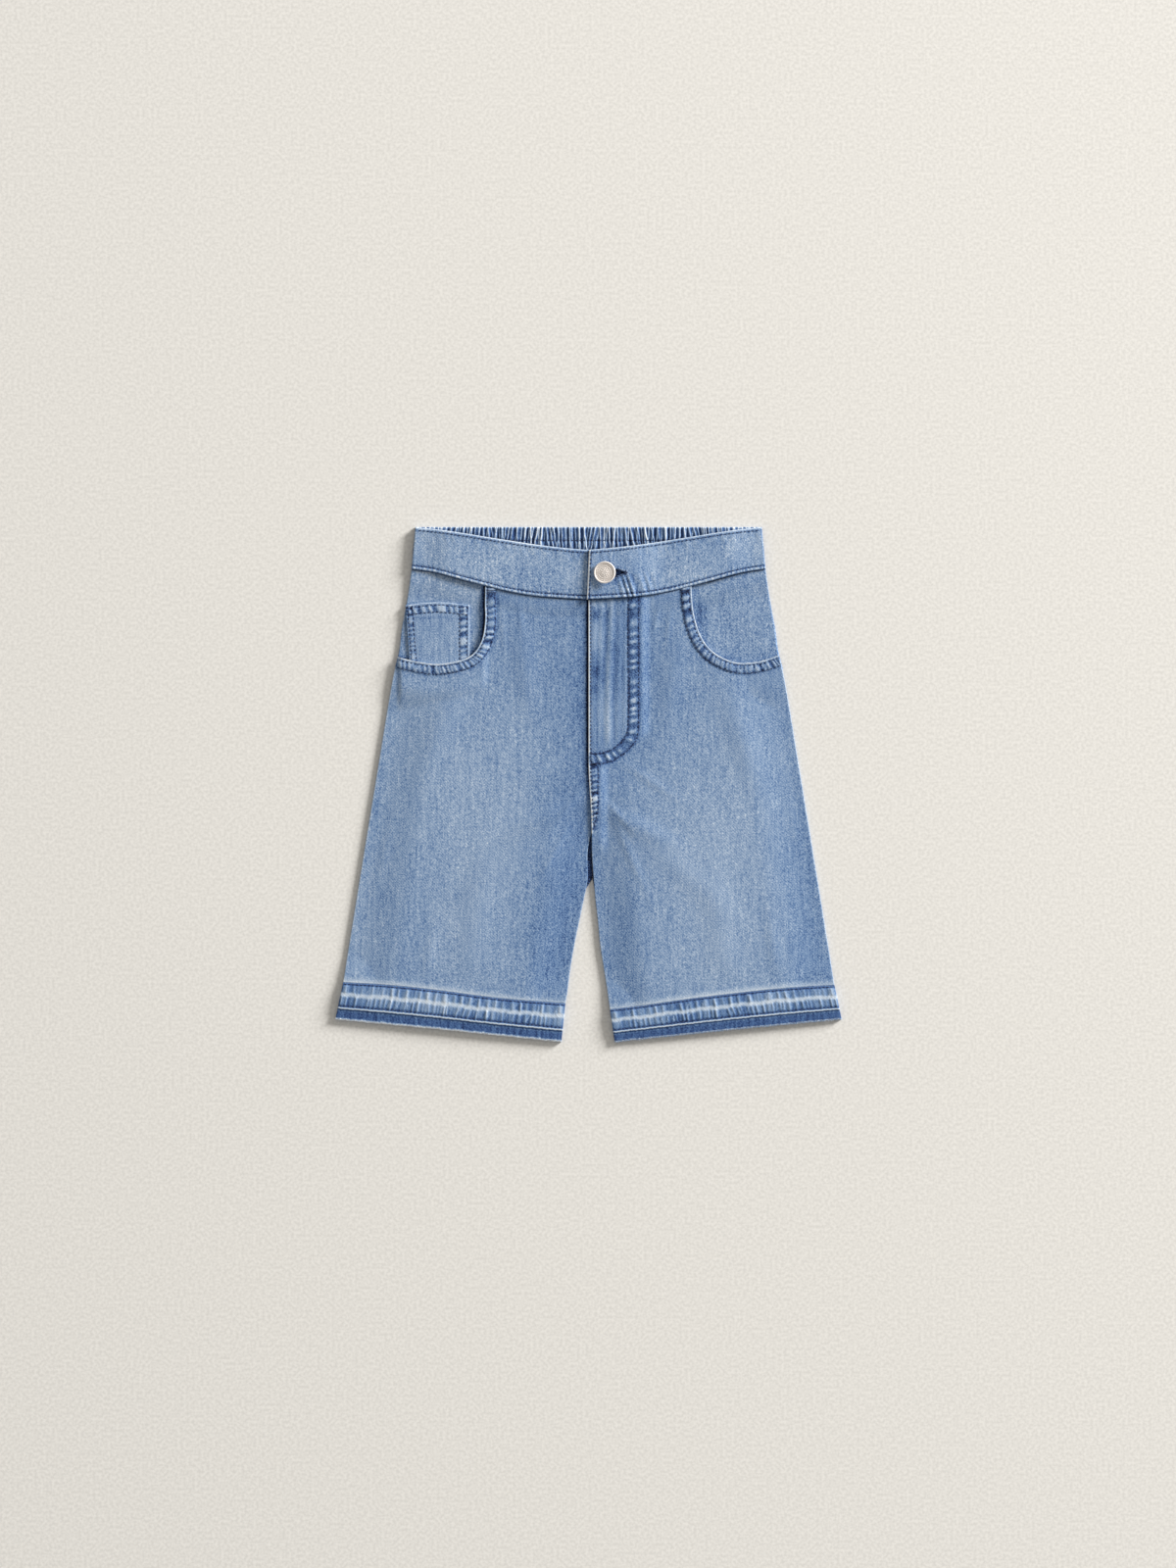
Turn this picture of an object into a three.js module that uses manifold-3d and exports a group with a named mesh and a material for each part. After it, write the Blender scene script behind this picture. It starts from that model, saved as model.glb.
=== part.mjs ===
// Denim shorts laid flat on their back, with the waist towards +Y.
// Sizes are in millimetres, X runs left to right as seen from above and Z is up from the surface.
// Left and right in names are the wearer's, so the right leg lies on the -X side.
import * as THREE from 'three';
import { mergeVertices } from 'three/addons/utils/BufferGeometryUtils.js';
import Module from 'manifold-3d';

const wasm = await Module();
wasm.setup();

const { degToRad, lerp, smoothstep } = THREE.MathUtils;

// Thicknesses and clearances
const CLOTH = 1.0;
const BAND_THICK = 2.2;
const HEM_THICK = 2.0;
const SEAM_GAP = 0.3;
const EDGE_DROP = 0.7;

// Waistband: the back one is straight and elasticated, the front one dips to the button
const WAIST_Y = 210.2;
const BACK_BAND_DEPTH = 34;
const BACK_GATHERS = 56;
const GATHER_HEIGHT = 1.8;
const PRESSED_GATHER = 0.9;
const GATHER_LEAN = 1.6;
const UNDERLAP = 30;
const OVERLAP_SLOPE = { near: 32, far: 64 };
const OVERLAP_EDGE = { top: 0.4, bottom: -1.4 };
const BAND_ROWS = [0, 0.04, 0.5, 0.95, 1];
const BAND_COLUMNS = 30;

// Fly and crotch
const FRONT_CROTCH = { x: 2.4, y: -39.4 };
const BACK_CROTCH = { x: 3.2, y: -77 };
const FLY_WIDTH = 42;
const FLY_FOOT = { near: 12, far: 45 };
const FLY_RAISE = 1.4;
const RISE_SEAM = 8;
const FRONT_UNDERLAP = 5;
const UNDERLAP_TAPER = 25;
const OVERLAP_TAPER = 60;

// How far the front stands off the back in the middle of a leg and of a hem
const LEG_LOFT = 1.8;
const HEM_LOFT = 0.8;

// Distances over which the front rises or comes down: near an edge or a layer, and far from it
const SIDE_SLOPE = { near: 5, far: 45 };
const INSEAM_SLOPE = { near: 3, far: 36 };
const CROTCH_SLOPE = { near: -8, far: 45 };
const BAND_SLOPE = { near: 3, far: 40 };
const HEM_SLOPE = { near: 3, far: 26 };
const MOUTH_SLOPE = { near: 20, far: 46 };
const COIN_INNER = { near: 76, far: 88 };
const COIN_OUTER = { near: 152, far: 157 };
const FLY_SLOPE = 9;
const FLY_END = { near: 2, far: 24 };
const FOLD_EDGE = { near: 4, far: 30 };
const GATHER_ENDS = { near: 112, far: 136 };

// Pockets
const FACING_TUCK = 12;
const COIN = { left: -149.4, leftLow: -145.7, right: -97, top: 146.4, low: 95, rise: 2.4 };

// Shares of a front panel's rows and columns: down to the side seam and the crotch,
// and across to the edge fold and the fly
const MOUTH_SHARE = 0.3;
const RISE_SHARE = 0.57;
const PANEL_EDGE = 0.08;
const PANEL_FLY = 0.7;

// Hem of each leg
const HEM_PUCKERS = 26;
const PUCKER_HEIGHT = 1.0;
const PUCKER_LEAN = 1.6;

// How uneven the gathers and puckers are
const WIDTH_SPREAD = 0.28;
const RIDGE_SPREAD = 0.1;
const CREST_SPREAD = 0.2;
const LEAN_WAVES = 31;

// Tack button, which leans towards the waistband's end
const BUTTON = { x: 13.4, y: 172.8, lean: 12, shank: 3.7, shankRadius: 3.0, segments: 40 };
const BUTTONHOLE = { radius: 4.1, mouth: 35, tip: 16 };

// Side seam, the same on both sides
const SIDE_SEAM = [
  { y: -191, x: 206.6 },
  { y: -162.5, x: 200.4 },
  { y: -140.2, x: 196.9 },
  { y: -82.6, x: 187.6 },
  { y: -34.6, x: 179.8 },
  { y: 13.4, x: 171.9 },
  { y: 61.4, x: 164.1 },
  { y: 83, x: 160.3 },
  { y: 95.8, x: 157.7 },
  { y: 108.6, x: 154.6 },
  { y: 127.8, x: 152.3 },
  { y: 140.6, x: 149.8 },
  { y: 159.8, x: 146.5 },
  { y: 175.7, x: 144.4 },
  { y: 192.5, x: 143.2 },
  { y: 210.2, x: 141.2 },
];

// Inseam of each leg below the front crotch
const INSEAM = [
  { y: -210.3, right: -22.2, left: 21.4 },
  { y: -189, right: -20.4, left: 18.2 },
  { y: -169, right: -17.3, left: 15.4 },
  { y: -149.8, right: -14.8, left: 12.4 },
  { y: -130.6, right: -11.6, left: 9.4 },
  { y: -111.4, right: -7.6, left: 7.6 },
  { y: -92.2, right: -3.6, left: 5.4 },
  { y: -77, right: -0.8, left: 4.2 },
  { y: -55, right: -0.8, left: 2.7 },
  { y: -39.4, right: 2.2, left: 2.6 },
];

// Top edge and lower seam of the front waistband, by distance from the centre
const FRONT_WAIST = [
  { x: 0, top: 191.3, seam: 150.8 },
  { x: 22, top: 193.2, seam: 152 },
  { x: 45, top: 196, seam: 153.9 },
  { x: 67, top: 199.4, seam: 157.7 },
  { x: 84, top: 202.1, seam: 162 },
  { x: 101, top: 204.9, seam: 166.4 },
  { x: 125, top: 208.3, seam: 172.8 },
  { x: 146, top: 210.2, seam: 176 },
];

// Hem seam and cut edge of the legs, by distance from the centre
const HEM = [
  { x: 0, right: -180, left: -185.5, edge: -212 },
  { x: 37, right: -177.4, left: -181.4, edge: -207.9 },
  { x: 79, right: -173.7, left: -175.4, edge: -203.5 },
  { x: 120, right: -168.3, left: -170.4, edge: -199.2 },
  { x: 161, right: -163.9, left: -166.2, edge: -195.3 },
  { x: 207, right: -161.2, left: -163.5, edge: -190.9 },
];

// Pocket mouths from the waistband round to the side seam
const MOUTH = [
  { rightX: 84.2, rightY: 161.9, leftX: 83.8, leftY: 161.9 },
  { rightX: 84.4, rightY: 146, leftX: 84.4, leftY: 150 },
  { rightX: 84.2, rightY: 134, leftX: 86.2, leftY: 137.5 },
  { rightX: 86.4, rightY: 119.5, leftX: 91, leftY: 122.4 },
  { rightX: 92.4, rightY: 108.4, leftX: 98.6, leftY: 111 },
  { rightX: 102.4, rightY: 102, leftX: 109.5, leftY: 103.4 },
  { rightX: 122, rightY: 98.4, leftX: 123, leftY: 99.3 },
  { rightX: 139, rightY: 100.2, leftX: 139.5, leftY: 100.6 },
  { rightX: 155.7, rightY: 104.2, leftX: 155.3, leftY: 105.6 },
];

// One pleat: places beside its ridge and their share of its height
const PLEAT = [
  { beside: -0.24, height: 0.62 },
  { beside: 0, height: 1 },
  { beside: 0.24, height: 0.58 },
];

// Rows of the back waistband from its top edge down: share of the gathers that stand open
// above the front, share that the front presses down, and how far the edge rounds off
const GATHER_ROWS = [
  { name: 'top', open: 0.62, pressed: 0, droop: 0.5 },
  { name: 'shoulder', open: 1, pressed: 0, droop: 0 },
  { name: 'middle', open: 0.92, pressed: 0, droop: 0 },
  { name: 'visible', open: 0.85, pressed: 0, droop: 0 },
  { name: 'pressed', open: 0, pressed: 0.8, droop: 0 },
  { name: 'bottom', open: 0, pressed: 0.8, droop: 0 },
];
const GATHER_OPENS = { near: 1, far: 6 };

// Section down through a front hem: height over its underside and share of the puckers
const HEM_SECTION = [
  { down: 0, height: 1.4, pucker: 0.1 },
  { down: 1.4, height: 1.9, pucker: 0.4 },
  { down: 5.5, height: 2.0, pucker: 1 },
  { down: 9.6, height: 2.1, pucker: 0.9 },
  { down: 19.6, height: 2.0, pucker: 0.7 },
  { down: 21, height: 1.2, pucker: 0.3 },
  { down: 30, height: 1.0, pucker: 0 },
];

// Soft folds of the front: centre, length, width, height and turn from +X in degrees
const FOLDS = [
  { x: -34, y: -26, length: 74, width: 15, height: 0.7, turn: 24 },
  { x: -62, y: -58, length: 96, width: 20, height: 0.5, turn: 38 },
  { x: -118, y: 52, length: 88, width: 22, height: 0.5, turn: 68 },
  { x: -92, y: -112, length: 120, width: 26, height: 0.5, turn: 84 },
  { x: -52, y: 96, length: 70, width: 18, height: 0.5, turn: 96 },
  { x: 40, y: -34, length: 66, width: 14, height: 0.7, turn: -26 },
  { x: 76, y: -70, length: 92, width: 22, height: 0.5, turn: -42 },
  { x: 68, y: 84, length: 78, width: 19, height: 0.5, turn: 84 },
  { x: 126, y: 36, length: 96, width: 23, height: 0.6, turn: -70 },
  { x: 108, y: -122, length: 110, width: 24, height: 0.5, turn: -82 },
];

// Profile of the button from its foot to the middle of its face
const BUTTON_PROFILE = [
  { radius: 0, height: 0 },
  { radius: BUTTON.shankRadius, height: 0 },
  { radius: BUTTON.shankRadius, height: BUTTON.shank },
  { radius: 8.2, height: BUTTON.shank },
  { radius: 8.9, height: 4.2 },
  { radius: 9.0, height: 5.0 },
  { radius: 8.6, height: 5.6 },
  { radius: 8.0, height: 5.7 },
  { radius: 7.5, height: 5.3 },
  { radius: 5.5, height: 5.2 },
  { radius: 5.1, height: 5.5 },
  { radius: 2.6, height: 5.8 },
  { radius: 0, height: 5.9 },
];

const DENIM = { color: 0x8fa4c0, roughness: 0.92, metalness: 0 };
const WORN_DENIM = { color: 0x8ba0bb, roughness: 0.92, metalness: 0 };
const DARK_DENIM = { color: 0x5f7699, roughness: 0.95, metalness: 0 };
const METAL = { color: 0xd8cec9, roughness: 0.35, metalness: 1 };

const shorts = new THREE.Group();

// Slope of one column of a table at a row, from the rows beside it
function tableSlope(table, key, column, row) {
  const before = table[Math.max(row - 1, 0)];
  const after = table[Math.min(row + 1, table.length - 1)];
  return (after[column] - before[column]) / (after[key] - before[key]);
}

// Smooth value of one column of a table at a place between two of its rows
function readTable(table, key, column, at) {
  let upper = 1;
  while (upper < table.length - 1 && table[upper][key] < at) {
    upper += 1;
  }
  const low = table[upper - 1];
  const high = table[upper];
  const span = high[key] - low[key];
  const share = THREE.MathUtils.clamp((at - low[key]) / span, 0, 1);
  const rest = 1 - share;
  const bow = rest * tableSlope(table, key, column, upper - 1);
  const rise = (high[column] - low[column]) / span;
  const skew = share * tableSlope(table, key, column, upper);
  return lerp(low[column], high[column], share)
    + span * share * rest * (bow - skew + (share - rest) * rise);
}

const sideX = (y) => readTable(SIDE_SEAM, 'y', 'x', y);
const inseamX = (leg, y) => readTable(INSEAM, 'y', leg.name, y);
const waistTop = (x) => readTable(FRONT_WAIST, 'x', 'top', Math.abs(x));
const waistSeam = (x) => readTable(FRONT_WAIST, 'x', 'seam', Math.abs(x));
const hemSeam = (leg, x) => readTable(HEM, 'x', leg.name, Math.abs(x));
const hemEdge = (x) => readTable(HEM, 'x', 'edge', Math.abs(x));

// Share from 0 at a slope's near distance to 1 at its far one
const climb = (slope, distance) => smoothstep(distance, slope.near, slope.far);

// Even steps from 0 to 1
function steps(count) {
  return Array.from({ length: count + 1 }, (_, index) => index / count);
}

// A repeatable value from -1 to 1 that makes the pleats uneven
function scatter(index) {
  const wave = Math.sin(index * 12.9898 + 4.1) * 43758.5453;
  return 2 * (wave - Math.floor(wave)) - 1;
}

function mouthCurve(leg) {
  const points = MOUTH.map((row) => {
    const x = row[`${leg.name}X`];
    return new THREE.Vector2(leg.sign * x, row[`${leg.name}Y`]);
  });
  return new THREE.SplineCurve(points);
}

const RIGHT = { name: 'right', sign: -1 };
const LEFT = { name: 'left', sign: 1 };
for (const leg of [RIGHT, LEFT]) {
  leg.mouth = mouthCurve(leg);
  leg.mouthPoints = leg.mouth.getSpacedPoints(48);
}

// Corner of a hem or seam line with the side seam or the inseam
function cornerOn(lineY, edgeX, guessX) {
  let x = guessX;
  for (let pass = 0; pass < 4; pass += 1) {
    x = edgeX(lineY(x));
  }
  return new THREE.Vector2(x, lineY(x));
}

function hemCorners(leg) {
  const outerX = (y) => leg.sign * sideX(y);
  const innerX = (y) => inseamX(leg, y);
  return {
    outerTop: cornerOn((x) => hemSeam(leg, x), outerX, leg.sign * 200),
    innerTop: cornerOn((x) => hemSeam(leg, x), innerX, leg.sign * 20),
    outerLow: cornerOn(hemEdge, outerX, leg.sign * 206),
    innerLow: cornerOn(hemEdge, innerX, leg.sign * 22),
  };
}

// Height of the front waistband's underside, over the back band and its pressed gathers
function bandDeck(x) {
  const middle = 1 - climb(GATHER_ENDS, Math.abs(x));
  return BAND_THICK + SEAM_GAP + (PRESSED_GATHER + SEAM_GAP) * middle;
}

// Height of a front hem's underside, over the back hem
function hemDeck(share) {
  return HEM_THICK + SEAM_GAP + HEM_LOFT * Math.sin(Math.PI * share);
}

function distanceToMouth(leg, x, y) {
  return Math.min(...leg.mouthPoints.map((point) => Math.hypot(point.x - x, point.y - y)));
}

// The front is lifted by the facing under its pocket edge, and by the coin pocket's foot
function pocketRise(leg, x, y) {
  const near = 1 - climb(MOUTH_SLOPE, distanceToMouth(leg, x, y));
  const facing = CLOTH + SEAM_GAP;
  if (leg.sign > 0) {
    return facing * near;
  }
  const coin = climb(COIN_INNER, -x) * (1 - climb(COIN_OUTER, -x));
  return (facing + facing * coin) * near;
}

function foldHeight(x, y) {
  let height = 0;
  for (const fold of FOLDS) {
    const turn = degToRad(fold.turn);
    const along = (x - fold.x) * Math.cos(turn) + (y - fold.y) * Math.sin(turn);
    const across = (y - fold.y) * Math.cos(turn) - (x - fold.x) * Math.sin(turn);
    const shape = (2 * along / fold.length) ** 2 + (2 * across / fold.width) ** 2;
    height += fold.height * Math.exp(-shape);
  }
  return height;
}

// Height of the front cloth's underside
function frontDeck(leg, x, y) {
  const fromSide = climb(SIDE_SLOPE, sideX(y) - Math.abs(x));
  const innerX = inseamX(leg, Math.min(y, FRONT_CROTCH.y));
  const fromInseam = climb(INSEAM_SLOPE, Math.abs(x - innerX));
  const aboveCrotch = climb(CROTCH_SLOPE, y - FRONT_CROTCH.y);
  const loft = LEG_LOFT * fromSide * lerp(fromInseam, 1, aboveCrotch);
  const base = CLOTH + SEAM_GAP;
  const fromBand = waistSeam(x) - y;
  const fromHem = y - hemSeam(leg, x);
  const band = (bandDeck(x) - base) * (1 - climb(BAND_SLOPE, fromBand));
  const hem = (HEM_THICK - CLOTH) * (1 - climb(HEM_SLOPE, fromHem));
  const loose = climb(FOLD_EDGE, fromBand) * climb(FOLD_EDGE, fromHem) * fromSide;
  return base + Math.max(loft, pocketRise(leg, x, y), band, hem) + foldHeight(x, y) * loose;
}

// The left front lies over the right one along the fly and down to the crotch
function flyRise(x, y) {
  const width = lerp(RISE_SEAM, FLY_WIDTH, climb(FLY_FOOT, y));
  const across = 1 - smoothstep(x, width, width + FLY_SLOPE);
  return FLY_RAISE * across * (1 - climb(FLY_END, FRONT_CROTCH.y - y));
}

// Grid of points spread over a four-sided piece from its four edges
function spread(edges, columns, rows) {
  const { top, bottom, outer, inner } = edges;
  return rows.map((v) => columns.map((u) => {
    const across = outer(v).clone().lerp(inner(v), u);
    const down = top(u).clone().lerp(bottom(u), v);
    const upper = top(0).clone().lerp(top(1), u);
    const lower = bottom(0).clone().lerp(bottom(1), u);
    return across.add(down).sub(upper.lerp(lower, v));
  }));
}

// Closed wall between two height functions over a grid whose rows run towards -Y.
// A plain underside spans its first and last rows only.
function wallOver(grid, under, over, plainUnder = false) {
  const leftward = grid[0][0].x > grid[0].at(-1).x;
  const rows = leftward ? grid.map((row) => [...row].reverse()) : grid;
  const place = (row, column) => (leftward ? row.length - 1 - column : column);
  const height = rows.length;
  const width = rows[0].length;
  const lowRows = plainUnder ? [0, height - 1] : rows.map((_, index) => index);
  const position = [];
  const index = [];
  const addPoint = (face, row, column) => {
    const point = rows[row][column];
    position.push(point.x, point.y, face(point, row, place(rows[row], column)));
  };
  rows.forEach((row, i) => row.forEach((_, j) => addPoint(over, i, j)));
  lowRows.forEach((i) => rows[i].forEach((_, j) => addPoint(under, i, j)));
  const top = (i, j) => i * width + j;
  const low = (i, j) => height * width + i * width + j;
  const lastLow = lowRows.length - 1;
  const lastTop = height - 1;
  for (let j = 0; j < width - 1; j += 1) {
    for (let i = 0; i < lastTop; i += 1) {
      index.push(top(i, j), top(i + 1, j), top(i + 1, j + 1));
      index.push(top(i, j), top(i + 1, j + 1), top(i, j + 1));
    }
    for (let i = 0; i < lastLow; i += 1) {
      index.push(low(i, j), low(i + 1, j + 1), low(i + 1, j));
      index.push(low(i, j), low(i, j + 1), low(i + 1, j + 1));
    }
    index.push(top(0, j), top(0, j + 1), low(0, j + 1));
    index.push(top(0, j), low(0, j + 1), low(0, j));
    index.push(top(lastTop, j), low(lastLow, j + 1), top(lastTop, j + 1));
    index.push(top(lastTop, j), low(lastLow, j), low(lastLow, j + 1));
  }
  closeEnd(index, (i) => top(i, 0), (i) => low(i, 0), lastTop, lastLow, false);
  closeEnd(index, (i) => top(i, width - 1), (i) => low(i, width - 1), lastTop, lastLow, true);
  const geometry = new THREE.BufferGeometry();
  geometry.setAttribute('position', new THREE.Float32BufferAttribute(position, 3));
  geometry.setIndex(index);
  return geometry;
}

// End wall between the last points of the rows above and below
function closeEnd(index, top, low, lastTop, lastLow, flip) {
  const face = (a, b, c) => index.push(...(flip ? [a, c, b] : [a, b, c]));
  for (let i = 0; i < lastTop; i += 1) {
    const lower = lastLow === lastTop ? i : 0;
    face(top(i), low(lower), top(i + 1));
    if (lastLow === lastTop) {
      face(low(i), low(i + 1), top(i + 1));
    }
  }
  if (lastLow !== lastTop) {
    face(low(0), low(lastLow), top(lastTop));
  }
}

// Flat piece of cloth cut to an outline
function flatWall(outline, from, thickness) {
  const shape = new THREE.Shape(outline);
  const geometry = new THREE.ExtrudeGeometry(shape, { depth: thickness, bevelEnabled: false });
  geometry.translate(0, 0, from);
  return geometry;
}

function addPiece(name, geometry, finish) {
  const flat = geometry.index ? geometry.toNonIndexed() : geometry;
  flat.computeVertexNormals();
  const mesh = new THREE.Mesh(flat, new THREE.MeshStandardMaterial(finish));
  mesh.name = name;
  shorts.add(mesh);
  return mesh;
}

// Points down an edge given as x for each y
function edgePoints(fromY, toY, count, xAt) {
  return steps(count).map((t) => {
    const y = lerp(fromY, toY, t);
    return new THREE.Vector2(xAt(y), y);
  });
}

// Points between the ends of a seam given as y for each x
function seamPoints(fromX, toX, count, yAt) {
  return steps(count).slice(1, -1).map((t) => {
    const x = lerp(fromX, toX, t);
    return new THREE.Vector2(x, yAt(x));
  });
}

function backPanel(leg) {
  const corners = hemCorners(leg);
  const topY = WAIST_Y - BACK_BAND_DEPTH - SEAM_GAP;
  const side = edgePoints(topY, corners.outerTop.y + SEAM_GAP, 12, (y) => leg.sign * sideX(y));
  const foot = seamPoints(corners.outerTop.x, corners.innerTop.x, 12, (x) => hemSeam(leg, x) + SEAM_GAP);
  const inseam = edgePoints(corners.innerTop.y + SEAM_GAP, BACK_CROTCH.y - 6, 8, (y) => inseamX(leg, y));
  const centre = leg.sign * SEAM_GAP / 2;
  const crotch = new THREE.Vector2(BACK_CROTCH.x + centre, BACK_CROTCH.y);
  const seatTop = new THREE.Vector2(centre, topY);
  return flatWall([...side, ...foot, ...inseam, crotch, seatTop], 0, CLOTH);
}

// Columns along a pleated piece: each pleat's valley, then the places beside its ridge
function pleatColumns(count) {
  const widths = steps(count - 1).map((_, index) => 1 + WIDTH_SPREAD * scatter(index));
  const total = widths.reduce((sum, width) => sum + width, 0);
  const columns = [];
  let start = 0;
  widths.forEach((width, index) => {
    const ridge = 0.5 + RIDGE_SPREAD * scatter(index + count);
    const crest = 1 + CREST_SPREAD * scatter(index + 2 * count);
    columns.push({ at: start / total, height: 0 });
    for (const place of PLEAT) {
      const at = (start + width * (ridge + place.beside)) / total;
      columns.push({ at, height: place.height * crest });
    }
    start += width;
  });
  columns.push({ at: 1, height: 0 });
  return columns;
}

// Height of a row of the back waistband, following the front's top edge where it is covered
function gatherRowY(name, frontY) {
  const visible = Math.min(frontY + 8 * SEAM_GAP, WAIST_Y - 2 * SEAM_GAP);
  return {
    top: WAIST_Y,
    shoulder: lerp(WAIST_Y, visible, 0.12),
    middle: lerp(WAIST_Y, visible, 0.55),
    visible,
    pressed: Math.min(frontY + SEAM_GAP, WAIST_Y - 3 * SEAM_GAP),
    bottom: WAIST_Y - BACK_BAND_DEPTH,
  }[name];
}

function backWaistband() {
  const columns = pleatColumns(BACK_GATHERS);
  const grid = GATHER_ROWS.map((row) => columns.map((column) => {
    const across = 2 * column.at - 1;
    const y = gatherRowY(row.name, waistTop(across * sideX(WAIST_Y)));
    const inside = 1 - across ** 8;
    const down = (WAIST_Y - y) / BACK_BAND_DEPTH;
    const lean = GATHER_LEAN * inside * Math.sin(LEAN_WAVES * column.at) * down;
    return new THREE.Vector2(across * sideX(y) + lean, y);
  }));
  const over = (point, row, column) => {
    const { open, pressed, droop } = GATHER_ROWS[row];
    const standing = GATHER_HEIGHT * open * climb(GATHER_OPENS, WAIST_Y - waistTop(point.x));
    const lying = PRESSED_GATHER * pressed * (1 - climb(GATHER_ENDS, Math.abs(point.x)));
    return BAND_THICK - droop + Math.max(standing, lying) * columns[column].height;
  };
  return wallOver(grid, () => 0, over, true);
}

function frontWaistband(leg) {
  const overlapping = leg.sign > 0;
  const innerX = overlapping ? OVERLAP_EDGE : { top: UNDERLAP, bottom: UNDERLAP };
  const outerTop = cornerOn(waistTop, (y) => leg.sign * sideX(y), leg.sign * 141);
  const outerLow = cornerOn(waistSeam, (y) => leg.sign * sideX(y), leg.sign * 144);
  const columns = steps(BAND_COLUMNS);
  const grid = BAND_ROWS.map((v) => columns.map((u) => {
    const topX = lerp(outerTop.x, innerX.top, u);
    const lowX = lerp(outerLow.x, innerX.bottom, u);
    const upper = new THREE.Vector2(topX, waistTop(topX));
    return upper.lerp(new THREE.Vector2(lowX, waistSeam(lowX)), v);
  }));
  const lift = (point) => {
    const step = overlapping ? BAND_THICK + SEAM_GAP : 0;
    return bandDeck(point.x) + step * (1 - climb(OVERLAP_SLOPE, point.x));
  };
  const over = (point, row) => {
    const edge = row === 0 || row === BAND_ROWS.length - 1;
    return lift(point) + BAND_THICK - (edge ? EDGE_DROP : 0);
  };
  return wallOver(grid, lift, over);
}

// Solid for joins and cuts from a closed geometry
function toSolid(geometry) {
  const bare = geometry.clone();
  bare.deleteAttribute('normal');
  bare.deleteAttribute('uv');
  const merged = mergeVertices(bare, 1e-4);
  const vertProperties = new Float32Array(merged.attributes.position.array);
  const triVerts = new Uint32Array(merged.index.array);
  return new wasm.Manifold(new wasm.Mesh({ numProp: 3, vertProperties, triVerts }));
}

function fromSolid(solid) {
  const mesh = solid.getMesh();
  const geometry = new THREE.BufferGeometry();
  geometry.setAttribute('position', new THREE.BufferAttribute(mesh.vertProperties, 3));
  geometry.setIndex(new THREE.BufferAttribute(mesh.triVerts, 1));
  return geometry;
}

// Keyhole through the overlapping band: round at the shank and tapering away from it
function buttonholeCut() {
  const half = degToRad(BUTTONHOLE.mouth);
  const shape = new THREE.Shape();
  shape.absarc(0, 0, BUTTONHOLE.radius, half, 2 * Math.PI - half, false);
  shape.lineTo(BUTTONHOLE.tip, -SEAM_GAP);
  shape.lineTo(BUTTONHOLE.tip, SEAM_GAP);
  const depth = 5 * BAND_THICK;
  const options = { depth, bevelEnabled: false, curveSegments: 16 };
  const geometry = new THREE.ExtrudeGeometry(shape, options);
  geometry.translate(BUTTON.x, BUTTON.y, 0);
  return geometry;
}

function overlapBand() {
  const hole = buttonholeCut();
  return fromSolid(toSolid(frontWaistband(LEFT)).subtract(toSolid(hole)));
}

// Edge of the right front under the fly, and of the left front over it
function centreFrontX(leg, y) {
  const foot = FRONT_CROTCH.x + leg.sign * SEAM_GAP / 2;
  const above = y - FRONT_CROTCH.y;
  if (leg.sign < 0) {
    return lerp(foot, FRONT_UNDERLAP, smoothstep(above, 0, UNDERLAP_TAPER));
  }
  return lerp(foot, 0, smoothstep(above, 0, OVERLAP_TAPER));
}

function frontPanelEdges(leg) {
  const corners = hemCorners(leg);
  const mouthEnd = leg.mouth.getPointAt(1);
  const mouthTop = leg.mouth.getPointAt(0);
  const innerTopY = waistSeam(0) - SEAM_GAP;
  const outer = (v) => {
    if (v <= MOUTH_SHARE) {
      return leg.mouth.getPointAt(v / MOUTH_SHARE);
    }
    const share = (v - MOUTH_SHARE) / (1 - MOUTH_SHARE);
    const y = lerp(mouthEnd.y, corners.outerTop.y + SEAM_GAP, share);
    return new THREE.Vector2(leg.sign * sideX(y), y);
  };
  const inner = (v) => {
    if (v <= RISE_SHARE) {
      const y = lerp(innerTopY, FRONT_CROTCH.y, v / RISE_SHARE);
      return new THREE.Vector2(centreFrontX(leg, y), y);
    }
    const share = (v - RISE_SHARE) / (1 - RISE_SHARE);
    const y = lerp(FRONT_CROTCH.y, corners.innerTop.y + SEAM_GAP, share);
    return new THREE.Vector2(inseamX(leg, y), y);
  };
  const along = (lineY, from, to) => (u) => {
    const x = lerp(from.x, to.x, u);
    const ease = lerp(from.y - lineY(from.x), to.y - lineY(to.x), u);
    return new THREE.Vector2(x, lineY(x) + ease);
  };
  const top = along((x) => waistSeam(x) - SEAM_GAP, mouthTop, inner(0));
  const bottom = along((x) => hemSeam(leg, x) + SEAM_GAP, outer(1), inner(1));
  return { top, bottom, outer, inner };
}

// Even steps through each stretch between the given stops
function stretches(stops, counts) {
  const shares = [stops[0]];
  counts.forEach((count, index) => {
    steps(count).slice(1).forEach((t) => shares.push(lerp(stops[index], stops[index + 1], t)));
  });
  return shares;
}

function frontPanel(leg) {
  const edges = frontPanelEdges(leg);
  const rows = stretches([0, MOUTH_SHARE, RISE_SHARE, 1], [11, 8, 12]);
  const columns = stretches([0, PANEL_EDGE, PANEL_FLY, 1], [1, 7, 5]);
  const grid = spread(edges, columns, rows);
  const under = (point) => {
    const fly = leg.sign > 0 ? flyRise(point.x, point.y) : 0;
    return frontDeck(leg, point.x, point.y) + fly;
  };
  return wallOver(grid, under, (point) => under(point) + CLOTH);
}

// Pocket mouth moved sideways into the front panel
function tuckedMouth(leg) {
  return steps(16).map((t) => {
    const point = leg.mouth.getPointAt(t);
    const way = leg.mouth.getTangentAt(t);
    point.x += leg.sign * way.y * FACING_TUCK;
    point.y -= leg.sign * way.x * FACING_TUCK;
    return point;
  });
}

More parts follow.
